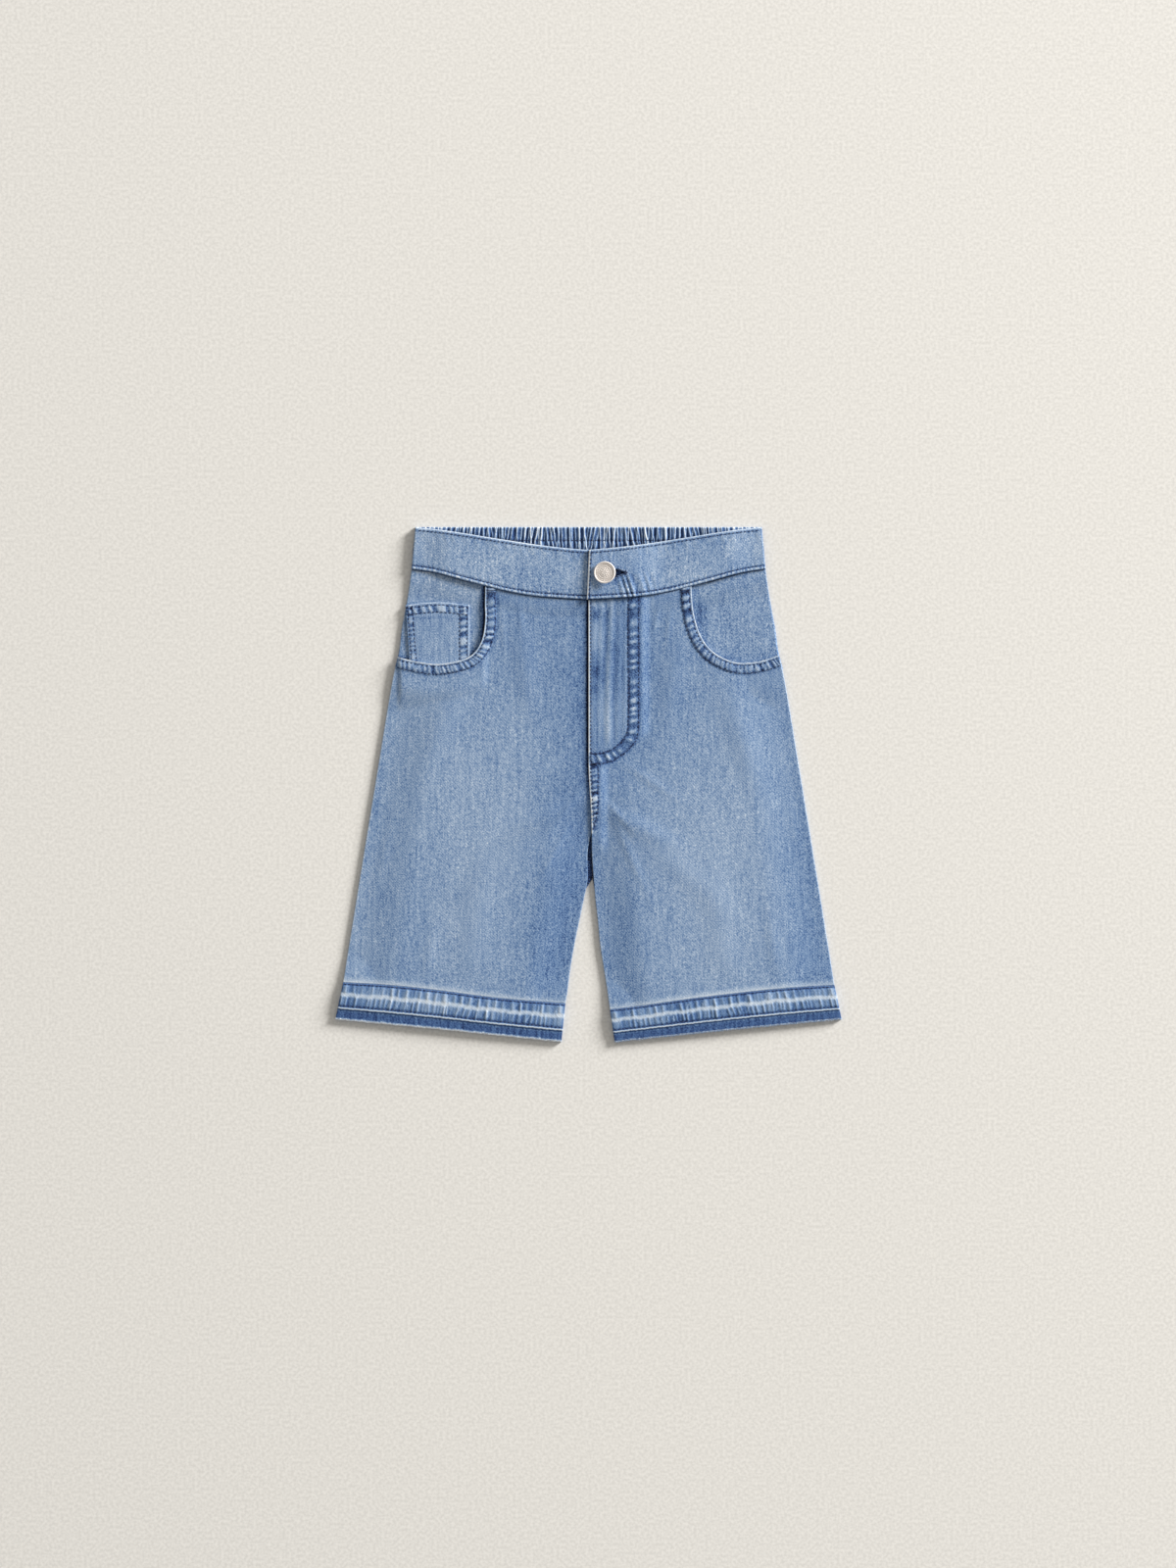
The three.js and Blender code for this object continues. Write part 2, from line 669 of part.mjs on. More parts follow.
function pocketFacing(leg) {
  const tucked = tuckedMouth(leg);
  const first = tucked[0];
  first.y = waistSeam(first.x) - SEAM_GAP;
  const last = tucked.at(-1);
  last.x = leg.sign * sideX(last.y);
  const topCorner = cornerOn((x) => waistSeam(x) - SEAM_GAP, (y) => leg.sign * sideX(y), leg.sign * 144);
  const side = edgePoints(last.y, topCorner.y, 6, (y) => leg.sign * sideX(y)).slice(1);
  const seam = seamPoints(topCorner.x, first.x, 6, (x) => waistSeam(x) - SEAM_GAP);
  return flatWall([...tucked, ...side, ...seam], CLOTH + SEAM_GAP, CLOTH);
}

function coinPocket() {
  const outline = [
    new THREE.Vector2(COIN.left, COIN.top),
    new THREE.Vector2((COIN.left + COIN.right) / 2, COIN.top + COIN.rise),
    new THREE.Vector2(COIN.right, COIN.top),
    new THREE.Vector2(COIN.right, COIN.low),
    new THREE.Vector2(COIN.leftLow, COIN.low),
  ];
  return flatWall(outline, 2 * (CLOTH + SEAM_GAP), CLOTH);
}

// Four-sided hem from its seam to the cut edge, with columns at the given shares
function hemGrid(leg, columns, rows) {
  const corners = hemCorners(leg);
  return rows.map((v) => columns.map((column) => {
    const topX = lerp(corners.outerTop.x, corners.innerTop.x, column.at);
    const lowX = lerp(corners.outerLow.x, corners.innerLow.x, column.at);
    const upper = new THREE.Vector2(topX, hemSeam(leg, topX));
    const point = upper.lerp(new THREE.Vector2(lowX, hemEdge(lowX)), v);
    const loose = Math.sin(Math.PI * column.at) * Math.sin(Math.PI * v);
    point.x += PUCKER_LEAN * loose * Math.sin(column.at * 43 + leg.sign);
    return point;
  }));
}

function frontHem(leg) {
  const columns = pleatColumns(HEM_PUCKERS);
  const depth = HEM_SECTION.at(-1).down;
  const grid = hemGrid(leg, columns, HEM_SECTION.map((row) => row.down / depth));
  const under = (point, row, column) => hemDeck(columns[column].at);
  const over = (point, row, column) => {
    const section = HEM_SECTION[row];
    const pucker = PUCKER_HEIGHT * section.pucker * columns[column].height;
    return under(point, row, column) + section.height + pucker;
  };
  return wallOver(grid, under, over, true);
}

function backHem(leg) {
  const columns = steps(10).map((at) => ({ at }));
  const [upper, lower] = hemGrid(leg, columns, [0, 1]);
  return flatWall([...upper, ...lower.reverse()], 0, HEM_THICK);
}

// Button with its shank through the buttonhole and its foot just above the underlap
function flyButton() {
  const profile = BUTTON_PROFILE.map((row) => new THREE.Vector2(row.radius, row.height));
  const geometry = new THREE.LatheGeometry(profile, BUTTON.segments);
  geometry.rotateX(Math.PI / 2);
  const lean = degToRad(BUTTON.lean);
  const mesh = addPiece('fly_button', geometry, METAL);
  const underlapTop = bandDeck(BUTTON.x) + BAND_THICK;
  mesh.rotation.y = -lean;
  mesh.position.x = BUTTON.x + BUTTON.shank * Math.sin(lean);
  mesh.position.y = BUTTON.y;
  mesh.position.z = underlapTop + SEAM_GAP + BUTTON.shankRadius * Math.sin(lean);
}

addPiece('back_waistband', backWaistband(), DENIM);
for (const leg of [RIGHT, LEFT]) {
  addPiece(`back_panel_${leg.name}`, backPanel(leg), DENIM);
  addPiece(`hem_back_${leg.name}`, backHem(leg), DARK_DENIM);
  addPiece(`pocket_facing_${leg.name}`, pocketFacing(leg), WORN_DENIM);
  addPiece(`front_panel_${leg.name}`, frontPanel(leg), DENIM);
  addPiece(`hem_front_${leg.name}`, frontHem(leg), DARK_DENIM);
}
addPiece('coin_pocket', coinPocket(), WORN_DENIM);
addPiece('front_waistband_right', frontWaistband(RIGHT), WORN_DENIM);
addPiece('front_waistband_left', overlapBand(), WORN_DENIM);
flyButton();

export default shorts;
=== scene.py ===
"""Light blue denim shorts laid flat, with their stitching, gathers, worn seams and raw hems.

Shapes are worked out in millimetres from the same sizes as the solids and turned into metres
when a mesh is made. Left and right are the wearer's, so the right leg lies on the -X side.
"""
import math

import bpy
import numpy as np
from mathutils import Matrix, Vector
from mathutils.bvhtree import BVHTree


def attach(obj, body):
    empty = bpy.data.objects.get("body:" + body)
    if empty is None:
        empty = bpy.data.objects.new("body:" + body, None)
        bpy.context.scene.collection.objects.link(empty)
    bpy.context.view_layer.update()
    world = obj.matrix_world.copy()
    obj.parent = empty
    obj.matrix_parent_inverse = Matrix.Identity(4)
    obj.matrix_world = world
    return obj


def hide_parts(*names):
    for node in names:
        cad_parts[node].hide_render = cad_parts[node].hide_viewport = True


bl_info = {
    "name": "Denim Shorts",
    "version": (1, 0, 0),
    "blender": (4, 5, 0),
    "location": "3D Viewport > Sidebar > Shorts",
    "description": "Builds a pair of flat-laid denim shorts piece by piece",
    "category": "Object",
}

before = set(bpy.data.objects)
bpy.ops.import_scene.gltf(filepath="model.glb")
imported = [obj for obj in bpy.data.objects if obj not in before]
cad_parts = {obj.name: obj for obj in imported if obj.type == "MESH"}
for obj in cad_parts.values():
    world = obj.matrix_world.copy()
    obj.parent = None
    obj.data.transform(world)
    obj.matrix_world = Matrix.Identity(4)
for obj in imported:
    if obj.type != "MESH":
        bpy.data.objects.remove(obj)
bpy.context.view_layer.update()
MM = 0.001

# Thicknesses and clearances of the cloth
CLOTH = 1.0
BAND_THICK = 2.2
HEM_THICK = 2.0
SEAM_GAP = 0.3

# Waistband
WAIST_Y = 210.2
BACK_BAND_DEPTH = 34
BACK_GATHERS = 56
CREASED_GATHERS = 84
CROSSING_GATHERS = 47
GATHER_HEIGHT = 1.8
PRESSED_GATHER = 0.9
GATHER_LEAN = 1.6
WAIST_LENGTH = 288
GATHER_ROW = 11
UNDERLAP = 30
OVERLAP_SLOPE = (32, 64)
OVERLAP_EDGE = {"top": 0.4, "bottom": -1.4}

# Fly and crotch
FRONT_CROTCH = (2.4, -39.4)
BACK_CROTCH = (3.2, -77)
BACK_FORK_SHARE = 0.69
INSEAM_EASE = 7
FLY_WIDTH = 42
FLY_FOOT = (12, 45)
FLY_RAISE = 1.4
FLY_SLOPE = 9
FLY_END = (2, 24)
RISE_SEAM = 8
FRONT_UNDERLAP = 5
UNDERLAP_TAPER = 25
OVERLAP_TAPER = 60

# Loft of the front over the back, and the distances over which it rises
LEG_LOFT = 1.8
HEM_LOFT = 0.8
SIDE_SLOPE = (5, 45)
INSEAM_SLOPE = (3, 36)
CROTCH_SLOPE = (-8, 45)
BAND_SLOPE = (3, 40)
HEM_SLOPE = (3, 26)
MOUTH_SLOPE = (20, 46)
COIN_INNER = (76, 88)
COIN_OUTER = (152, 157)
FOLD_EDGE = (4, 30)
GATHER_ENDS = (112, 136)
GATHER_OPENS = (1, 6)
CREASE_EDGE = (2, 26)
FACING_EDGE = (2, 12)
FACING_SLOPE = (6, 24)

# Pockets
FACING_TUCK = 12
COIN = {"left": -149.4, "left_low": -145.7, "right": -97, "top": 146.4, "low": 95, "rise": 2.4}

# Hems, and how uneven their puckers and the gathers are
HEM_PUCKERS = 26
HEM_LENGTH = 188
HEM_ROWS = (0.9, 18.9)
PUCKER_HEIGHT = 1.0
PUCKER_LEAN = 1.6
WIDTH_SPREAD = 0.28
RIDGE_SPREAD = 0.1
CREST_SPREAD = 0.2
CREASE_SPREAD = 0.06
LEAN_WAVES = 31

# Shares of a front panel's rows at the side seam and at the crotch
MOUTH_SHARE = 0.3
RISE_SHARE = 0.57

# About how wide and long the pieces are, for the spacing of their points
FRONT_WIDTH = 190
FRONT_LENGTH = 330
MOUTH_LENGTH = 120
BACK_WIDTH = 170
BACK_LENGTH = 240
BAND_DEPTH = 41
FACING_SIZE = 88
COIN_SIZE = 52

# Flat cut of what shows of each piece, across and along
CUTS = {
    "front_leg": (215, 350),
    "back_leg": (215, 370),
    "back_band": (430, BACK_BAND_DEPTH),
    "facing": (90, 92),
    "coin_pocket": (53, 56),
    "waistband_right": (176, 60),
    "waistband_left": (146, 60),
    "hem": (190, 62),
}

# Button and buttonhole, and the heights between which the hole is cut
BUTTON = {"x": 13.4, "y": 172.8, "lean": 12, "shank": 3.7, "shank_radius": 3.0}
BUTTONHOLE = {"radius": 4.1, "mouth": 35, "gape": 2.9, "neck": 9.4, "narrow": 13, "tip": 16}
BUTTONHOLE_CUT = (3.0, 12.0)


def table(names, *rows):
    """A short table with named columns, as one array for each column."""
    return dict(zip(names.split(), np.array(rows, float).T))


SIDE_SEAM = table(
    "y x",
    (-191, 206.6),
    (-162.5, 200.4),
    (-140.2, 196.9),
    (-82.6, 187.6),
    (-34.6, 179.8),
    (13.4, 171.9),
    (61.4, 164.1),
    (83, 160.3),
    (95.8, 157.7),
    (108.6, 154.6),
    (127.8, 152.3),
    (140.6, 149.8),
    (159.8, 146.5),
    (175.7, 144.4),
    (192.5, 143.2),
    (210.2, 141.2),
)

INSEAM = table(
    "y right left",
    (-210.3, -22.2, 21.4),
    (-189, -20.4, 18.2),
    (-169, -17.3, 15.4),
    (-149.8, -14.8, 12.4),
    (-130.6, -11.6, 9.4),
    (-111.4, -7.6, 7.6),
    (-92.2, -3.6, 5.4),
    (-77, -0.8, 4.2),
    (-55, -0.8, 2.7),
    (-39.4, 2.2, 2.6),
)

FRONT_WAIST = table(
    "x top seam",
    (0, 191.3, 150.8),
    (22, 193.2, 152),
    (45, 196, 153.9),
    (67, 199.4, 157.7),
    (84, 202.1, 162),
    (101, 204.9, 166.4),
    (125, 208.3, 172.8),
    (146, 210.2, 176),
)

HEM = table(
    "x right left edge",
    (0, -180, -185.5, -212),
    (37, -177.4, -181.4, -207.9),
    (79, -173.7, -175.4, -203.5),
    (120, -168.3, -170.4, -199.2),
    (161, -163.9, -166.2, -195.3),
    (207, -161.2, -163.5, -190.9),
)

MOUTH = table(
    "right_x right_y left_x left_y",
    (84.2, 161.9, 83.8, 161.9),
    (84.4, 146, 84.4, 150),
    (84.2, 134, 86.2, 137.5),
    (86.4, 119.5, 91, 122.4),
    (92.4, 108.4, 98.6, 111),
    (102.4, 102, 109.5, 103.4),
    (122, 98.4, 123, 99.3),
    (139, 100.2, 139.5, 100.6),
    (155.7, 104.2, 155.3, 105.6),
)

# Soft folds of the front: centre, length, width, height and turn from +X
FOLDS = table(
    "x y length width height turn",
    (-34, -26, 74, 15, 0.7, 24),
    (-62, -58, 96, 20, 0.5, 38),
    (-118, 52, 88, 22, 0.5, 68),
    (-92, -112, 120, 26, 0.5, 84),
    (-52, 96, 70, 18, 0.5, 96),
    (40, -34, 66, 14, 0.7, -26),
    (76, -70, 92, 22, 0.5, -42),
    (68, 84, 78, 19, 0.5, 84),
    (126, 36, 96, 23, 0.6, -70),
    (108, -122, 110, 24, 0.5, -82),
)

# Finer creases that only the cloth shows: the drag at the crotch and below the waistband
CREASES = table(
    "x y length width height turn",
    (-16, -18, 40, 5, 0.35, 52),
    (-26, -52, 58, 6, 0.3, 62),
    (-44, 8, 46, 7, 0.3, 28),
    (22, -22, 38, 5, 0.35, -48),
    (34, -58, 62, 7, 0.3, -66),
    (52, 2, 44, 7, 0.3, -34),
    (56, 138, 26, 4, 0.3, 78),
    (66, 132, 34, 5, 0.25, 84),
    (-56, 140, 28, 5, 0.25, 98),
    (-70, 128, 36, 5, 0.25, 94),
    (-168, -60, 60, 8, 0.3, 76),
    (170, -40, 52, 8, 0.3, -76),
    (-130, -140, 44, 9, 0.3, 80),
    (150, -130, 50, 9, 0.3, -84),
)

# Tone of the front before its wash and wear
WASH_BASE = 0.49

# Wash of the front with some painted light and painted shade: soft areas that are paler or darker, with
# their half sizes
WASH_AND_SHADING = table(
    "x y across down amount",
    (-92, -30, 62, 120, 0.13),
    (-96, -150, 70, 60, 0.03),
    (30, -130, 14, 40, -0.07),
    (104, -50, 60, 110, 0.13),
    (96, -150, 60, 60, 0.05),
    (0, 60, 26, 120, -0.07),
    (-10, -60, 30, 70, -0.1),
    (18, -66, 16, 40, 0.04),
    (16, 128, 12, 24, 0.04),
    (-34, -130, 24, 50, -0.11),
    # Painted light on the right leg's outer slope, which faces away from the key light
    (-188, -110, 14, 90, 0.08),
    (-62, 120, 34, 40, -0.03),
    (60, 112, 26, 48, -0.03),
    (188, -60, 26, 150, -0.08),
    (-150, 70, 30, 60, 0.04),
    (-76, 151, 9, 4, -0.16),
    (76, 151, 9, 4, -0.08),
    (-90, 155, 5, 3, -0.16),
    (5, 138, 3, 6, -0.26),
    (6, 92, 4, 6, -0.26),
    (5, 79, 2.5, 4, -0.16),
    (5, 105, 2.5, 4, -0.12),
    (12, 147, 9, 3, 0.16),
    (8, 120, 6, 16, 0.18),
    (6, 62, 4, 12, 0.08),
    # Painted shade right of the fly, where the slope faces the key light
    (49, 105, 6, 50, -0.05),
    (21, 100, 4, 30, -0.13),
    (12, 58, 5, 26, 0.1),
    (27, 60, 2, 16, 0.06),
    (48, 40, 7, 16, -0.05),
    (46, 60, 4, 10, -0.06),
)

# Section down through a hem: height over its underside, puckers, and tone
HEM_SECTION = table(
    "down height pucker tone",
    (0, 1.7, 0.1, 0.4),
    (0.5, 1.75, 0.1, 0.14),
    (1.5, 1.8, 0.3, 0.2),
    (2.6, 2.0, 0.9, 0.36),
    (7.2, 2.05, 1.0, 0.38),
    (8.4, 2.15, 0.3, 0.8),
    (9.6, 2.2, 0.1, 0.86),
    (10.8, 2.15, 0.3, 0.8),
    (12.0, 2.05, 1.0, 0.38),
    (17, 2.0, 0.9, 0.32),
    (18.6, 1.8, 0.4, 0.12),
    (19.5, 2.0, 0.2, 0.3),
    (20.1, 2.15, 0.1, 0.9),
    (20.8, 2.15, 0, 0.9),
    (21.4, 1.5, 0, 0.1),
    (22.6, 1.2, 0.1, 0.2),
    (28.4, 1.1, 0.1, 0.2),
    (30, 1.0, 0, 0.3),
)
HEM_DEPTH = 30
OLD_FOLD = 9.6
RAW_STRIP = 22.6
RAW_OUTSET = 0.5
PUCKER_CONTRAST = {"right": 0.5, "left": 0.4}

# How pale the fuzz of each raw edge is, and how far it reaches in
RAW_FUZZ = {"right": (0.75, 1.8), "left": (0.45, 1.0)}

# One pleat of a gathered piece: places beside its ridge and their share of its height
PLEAT = table("beside height", (-0.24, 0.62), (0, 1), (0.24, 0.58))


def lerp(start, end, share):
    return start + (end - start) * share


def smoothstep(value, low, high):
    share = np.clip((value - low) / (high - low), 0, 1)
    return share * share * (3 - 2 * share)


def climb(slope, distance):
    """Share from 0 at a slope's near distance to 1 at its far one."""
    return smoothstep(distance, *slope)


def bell(distance, width):
    return np.exp(-((distance / width) ** 2))


def xy(x, y):
    return np.stack([x, y], axis=-1)


def scatter(index):
    """A repeatable value from -1 to 1."""
    wave = np.sin(np.asarray(index, float) * 12.9898 + 4.1) * 43758.5453
    return 2 * (wave - np.floor(wave)) - 1


def read(data, key, column, at):
    """Smooth value of one column of a table at places between its rows."""
    keys, values = data[key], data[column]
    at = np.asarray(at, float)
    upper = np.clip(np.searchsorted(keys, at), 1, len(keys) - 1)
    before = np.maximum(np.arange(len(keys)) - 1, 0)
    after = np.minimum(np.arange(len(keys)) + 1, len(keys) - 1)
    slope = (values[after] - values[before]) / (keys[after] - keys[before])
    span = keys[upper] - keys[upper - 1]
    share = np.clip((at - keys[upper - 1]) / span, 0, 1)
    rest = 1 - share
    rise = (values[upper] - values[upper - 1]) / span
    bow = rest * slope[upper - 1] - share * slope[upper] + (share - rest) * rise
    return lerp(values[upper - 1], values[upper], share) + span * share * rest * bow


def side_x(y):
    return read(SIDE_SEAM, "y", "x", y)


def inseam_x(leg, y):
    return read(INSEAM, "y", leg.name, y)


def waist_top(x):
    return read(FRONT_WAIST, "x", "top", np.abs(x))


def waist_seam(x):
    return read(FRONT_WAIST, "x", "seam", np.abs(x))


def hem_seam(leg, x):
    return read(HEM, "x", leg.name, np.abs(x))


def hem_edge(x):
    return read(HEM, "x", "edge", np.abs(x))


class Path:
    """A line through points, read by distance along it."""

    def __init__(self, points):
        self.points = np.array(points, float)
        legs = np.linalg.norm(np.diff(self.points, axis=0), axis=1)
        self.travel = np.concatenate([[0], np.cumsum(legs)])
        self.length = self.travel[-1]

    def at(self, distance):
        x = np.interp(distance, self.travel, self.points[:, 0])
        y = np.interp(distance, self.travel, self.points[:, 1])
        return xy(x, y)

    def share(self, share):
        return self.at(np.asarray(share) * self.length)

    def spaced(self, step):
        count = max(int(self.length / step), 2)
        return self.share(np.linspace(0, 1, count + 1))

    def direction(self, distance):
        step = 0.2
        way = self.at(distance + step) - self.at(distance - step)
        return way / np.maximum(np.linalg.norm(way, axis=-1, keepdims=True), 1e-9)

    def moved(self, offset):
        """The line moved to its left by an offset."""
        ways = self.direction(self.travel)
        normals = xy(-ways[:, 1], ways[:, 0])
        return Path(self.points + normals * offset)

    def part(self, start, end):
        return Path(self.at(np.linspace(start, end, 200)))


def spline(points, steps=24):
    """A smooth line through points, as a Path."""
    points = np.array(points, float)
    padded = np.vstack([points[:1], points, points[-1:]])
    t = np.linspace(0, 1, steps, endpoint=False)[:, None]
    lines = []
    for before, start, end, after in zip(padded, padded[1:], padded[2:], padded[3:]):
        first, last = (end - before) / 2, (after - start) / 2
        cubic = 2 * start - 2 * end + first + last
        square = -3 * start + 3 * end - 2 * first - last
        lines.append(cubic * t ** 3 + square * t ** 2 + first * t + start)
    return Path(np.vstack([*lines, points[-1:]]))


class Leg:
    """One side of the shorts, with its pocket mouth and hem corners."""

    def __init__(self, name, sign):
        self.name, self.sign = name, sign
        mouth_x = sign * MOUTH[f"{name}_x"]
        self.mouth = spline(xy(mouth_x, MOUTH[f"{name}_y"]))
        outer = lambda y: sign * side_x(y)
        inner = lambda y: inseam_x(self, y)
        seam = lambda x: hem_seam(self, x)
        self.outer_top = corner_on(seam, outer, guess=sign * 200)
        self.inner_top = corner_on(seam, inner, guess=sign * 20)
        self.outer_low = corner_on(hem_edge, outer, guess=sign * 206)
        self.inner_low = corner_on(hem_edge, inner, guess=sign * 22)


def corner_on(line_y, edge_x, guess):
    """Point where a hem or waist line meets a side edge."""
    x = float(guess)
    for _ in range(4):
        x = float(edge_x(line_y(x)))
    return np.array([x, float(line_y(x))])


RIGHT = Leg("right", -1)
LEFT = Leg("left", 1)
LEGS = (RIGHT, LEFT)


def beside(path, x, y, reach):
    """Distance from a path, which side of it, and the place along it, for points within reach."""
    dots = path.spaced(0.4)
    places = np.linspace(0, path.length, len(dots))
    ways = path.direction(places)
    low, high = dots.min(axis=0) - reach, dots.max(axis=0) + reach
    near = (x > low[0]) & (x < high[0]) & (y > low[1]) & (y < high[1])
    points = xy(x[near], y[near])
    distance = np.full(x.shape, 1e3)
    side = np.zeros(x.shape)
    place = np.zeros(x.shape)
    if len(points):
        nearest = np.concatenate([
            np.argmin(((chunk[:, None] - dots[None]) ** 2).sum(axis=2), axis=1)
            for chunk in np.array_split(points, len(points) // 2000 + 1)
        ])
        gap = points - dots[nearest]
        way = ways[nearest]
        across = way[:, 0] * gap[:, 1] - way[:, 1] * gap[:, 0]
        distance[near] = np.linalg.norm(gap, axis=1)
        side[near] = np.sign(across)
        place[near] = places[nearest]
    return distance, side, place


def band_deck(x):
    """Height on which the front waistband lies."""
    middle = 1 - climb(GATHER_ENDS, np.abs(x))
    return BAND_THICK + SEAM_GAP + (PRESSED_GATHER + SEAM_GAP) * middle


def hem_deck(share):
    return HEM_THICK + SEAM_GAP + HEM_LOFT * np.sin(np.pi * share)


def pocket_rise(leg, x, y):
    """Lift of the front by the facing under its pocket edge, and by the coin pocket's foot."""
    distance, _, _ = beside(leg.mouth, x, y, MOUTH_SLOPE[1] + 2)
    near = 1 - climb(MOUTH_SLOPE, distance)
    facing = CLOTH + SEAM_GAP
    if leg.sign > 0:
        return facing * near
    coin = climb(COIN_INNER, -x) * (1 - climb(COIN_OUTER, -x))
    return (facing + facing * coin) * near


def ridge_height(data, x, y):
    """Summed height of a table of soft ridges."""
    height = np.zeros_like(x)
    for cx, cy, length, width, tall, turn in zip(*data.values()):
        angle = math.radians(turn)
        along = (x - cx) * math.cos(angle) + (y - cy) * math.sin(angle)
        across = (y - cy) * math.cos(angle) - (x - cx) * math.sin(angle)
        height += tall * np.exp(-((2 * along / length) ** 2) - (2 * across / width) ** 2)
    return height


def front_deck(leg, x, y):
    """Height of the front cloth's underside, before the fly lifts it."""
    from_side = climb(SIDE_SLOPE, side_x(y) - np.abs(x))
    inner_x = inseam_x(leg, np.minimum(y, FRONT_CROTCH[1]))
    from_inseam = climb(INSEAM_SLOPE, np.abs(x - inner_x))
    above_crotch = climb(CROTCH_SLOPE, y - FRONT_CROTCH[1])
    loft = LEG_LOFT * from_side * lerp(from_inseam, 1, above_crotch)
    base = CLOTH + SEAM_GAP
    from_band = waist_seam(x) - y
    from_hem = y - hem_seam(leg, x)
    band = (band_deck(x) - base) * (1 - climb(BAND_SLOPE, from_band))
    hem = (HEM_THICK - CLOTH) * (1 - climb(HEM_SLOPE, from_hem))
    loose = climb(FOLD_EDGE, from_band) * climb(FOLD_EDGE, from_hem) * from_side
    layers = np.maximum.reduce([loft, pocket_rise(leg, x, y), band, hem])
    return base + layers + ridge_height(FOLDS, x, y) * loose


def fly_rise(x, y):
    """Lift of the left front over the fly's layers."""
    width = lerp(RISE_SEAM, FLY_WIDTH, climb(FLY_FOOT, y))
    across = 1 - smoothstep(x - width, 0, FLY_SLOPE)
    return FLY_RAISE * across * (1 - climb(FLY_END, FRONT_CROTCH[1] - y))


class Grid:
    """Points of a piece in rows and columns, with their distance from each of its edges."""

    def __init__(self, points):
        self.points = points
        self.x, self.y = points[..., 0], points[..., 1]
        down = np.linalg.norm(np.diff(points, axis=0), axis=2)
        across = np.linalg.norm(np.diff(points, axis=1), axis=2)
        rows, columns = self.x.shape
        self.from_top = np.vstack([np.zeros((1, columns)), np.cumsum(down, axis=0)])
        self.from_bottom = self.from_top[-1:] - self.from_top
        self.from_outer = np.hstack([np.zeros((rows, 1)), np.cumsum(across, axis=1)])
        self.from_inner = self.from_outer[:, -1:] - self.from_outer

    def from_edge(self):
        edges = [self.from_top, self.from_bottom, self.from_outer, self.from_inner]
        return np.minimum.reduce(edges)

    def area(self):
        first = self.points[1:, 1:] - self.points[:-1, :-1]
        second = self.points[1:, :-1] - self.points[:-1, 1:]
        cross = first[..., 0] * second[..., 1] - first[..., 1] * second[..., 0]
        return float(np.abs(cross).sum() / 2)


def rolled(grid, radius):
    """How far the face drops where the cloth rolls over at its edges."""
    inside = np.clip(1 - grid.from_edge() / radius, 0, 1)
    return radius * (1 - np.sqrt(1 - inside ** 2 * 0.98))


# Distances of a piece's first rows of points from its edge, which round it
ROUNDING = np.array([0, 0.15, 0.45, 0.9])

# Shares at both ends of an edge
ENDS = np.array([0.0, 1.0])


def stations(length, *stretches):
    """Shares along a length, close together at both ends to round them, and stepped between."""
    inner = []
    start = ROUNDING[-1]
    for until, step in stretches:
        inner.append(np.arange(start + step, min(until, length - ROUNDING[-1] - step / 2), step))
        start = inner[-1][-1] if len(inner[-1]) else start
    return np.concatenate([ROUNDING, *inner, (length - ROUNDING)[::-1]]) / length


def even_stations(length, step):
    return stations(length, (length, step))


def spread(top, bottom, outer, inner, columns, rows):
    """Grid blended from the four edges of a piece, each a function of the shares."""
    u, v = columns[None, :, None], rows[:, None, None]
    across = lerp(outer(rows)[:, None], inner(rows)[:, None], u)
    down = lerp(top(columns)[None], bottom(columns)[None], v)
    (first, second), (third, fourth) = top(ENDS), bottom(ENDS)
    corners = lerp(lerp(first, second, u), lerp(third, fourth, u), v)
    return Grid(across + down - corners)


def make_mesh(name, points, faces, material, tone=None):
    """Object at the origin from points in millimetres."""
    mesh = bpy.data.meshes.new(name)
    mesh.from_pydata((np.asarray(points) * MM).tolist(), [], faces)
    mesh.polygons.foreach_set("use_smooth", [True] * len(mesh.polygons))
    if tone is not None:
        layer = mesh.attributes.new("tone", "FLOAT", "POINT")
        layer.data.foreach_set("value", np.asarray(tone, np.float32))
    mesh.update()
    piece = bpy.data.objects.new(name, mesh)
    bpy.context.collection.objects.link(piece)
    mesh.materials.append(material)
    return piece


def wall_faces(rows, columns, flip):
    """Quads of a closed wall whose upper face comes before its lower one."""
    index = np.arange(2 * rows * columns).reshape(2, rows, columns)
    top, low = index

    def quads(a, b, c, d):
        return np.stack([a.ravel(), b.ravel(), c.ravel(), d.ravel()], axis=1)

    faces = [
        quads(top[:-1, :-1], top[1:, :-1], top[1:, 1:], top[:-1, 1:]),
        quads(low[:-1, :-1], low[:-1, 1:], low[1:, 1:], low[1:, :-1]),
        quads(top[0, :-1], top[0, 1:], low[0, 1:], low[0, :-1]),
        quads(top[-1, 1:], top[-1, :-1], low[-1, :-1], low[-1, 1:]),
        quads(top[1:, 0], top[:-1, 0], low[:-1, 0], low[1:, 0]),
        quads(top[:-1, -1], top[1:, -1], low[1:, -1], low[:-1, -1]),
    ]
    faces = np.vstack(faces)
    return (faces[:, ::-1] if flip else faces).tolist()


def make_wall(name, grid, under, over, tone, material, inner_tone=None):
    """Closed wall of cloth between two heights over a grid, coloured by its tone."""
    inner_tone = tone if inner_tone is None else inner_tone
    under = np.broadcast_to(under, grid.x.shape)
    upper = np.stack([grid.x, grid.y, over], axis=-1).reshape(-1, 3)
    lower = np.stack([grid.x, grid.y, under], axis=-1).reshape(-1, 3)
    rows, columns = grid.x.shape
    flip = grid.x[0, 0] > grid.x[0, -1]
    tones = np.concatenate([tone.ravel(), 0.8 * inner_tone.ravel()])
    faces = wall_faces(rows, columns, flip)
    return make_mesh(name, np.vstack([upper, lower]), faces, material, tones)


def dress(piece):
    """Tells the frame which body a piece rides on."""
    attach(piece, "root")


def dress_sheet(piece, node, cut, area):
    """Attaches a sheet of cloth and hides the solid that it replaces; its flat cut and area are worked
    out but not passed on.
    """
    dress(piece)
    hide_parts(node)
    flat = (cut[0] * MM, cut[1] * MM)
    area = min(area * MM * MM, flat[0] * flat[1])


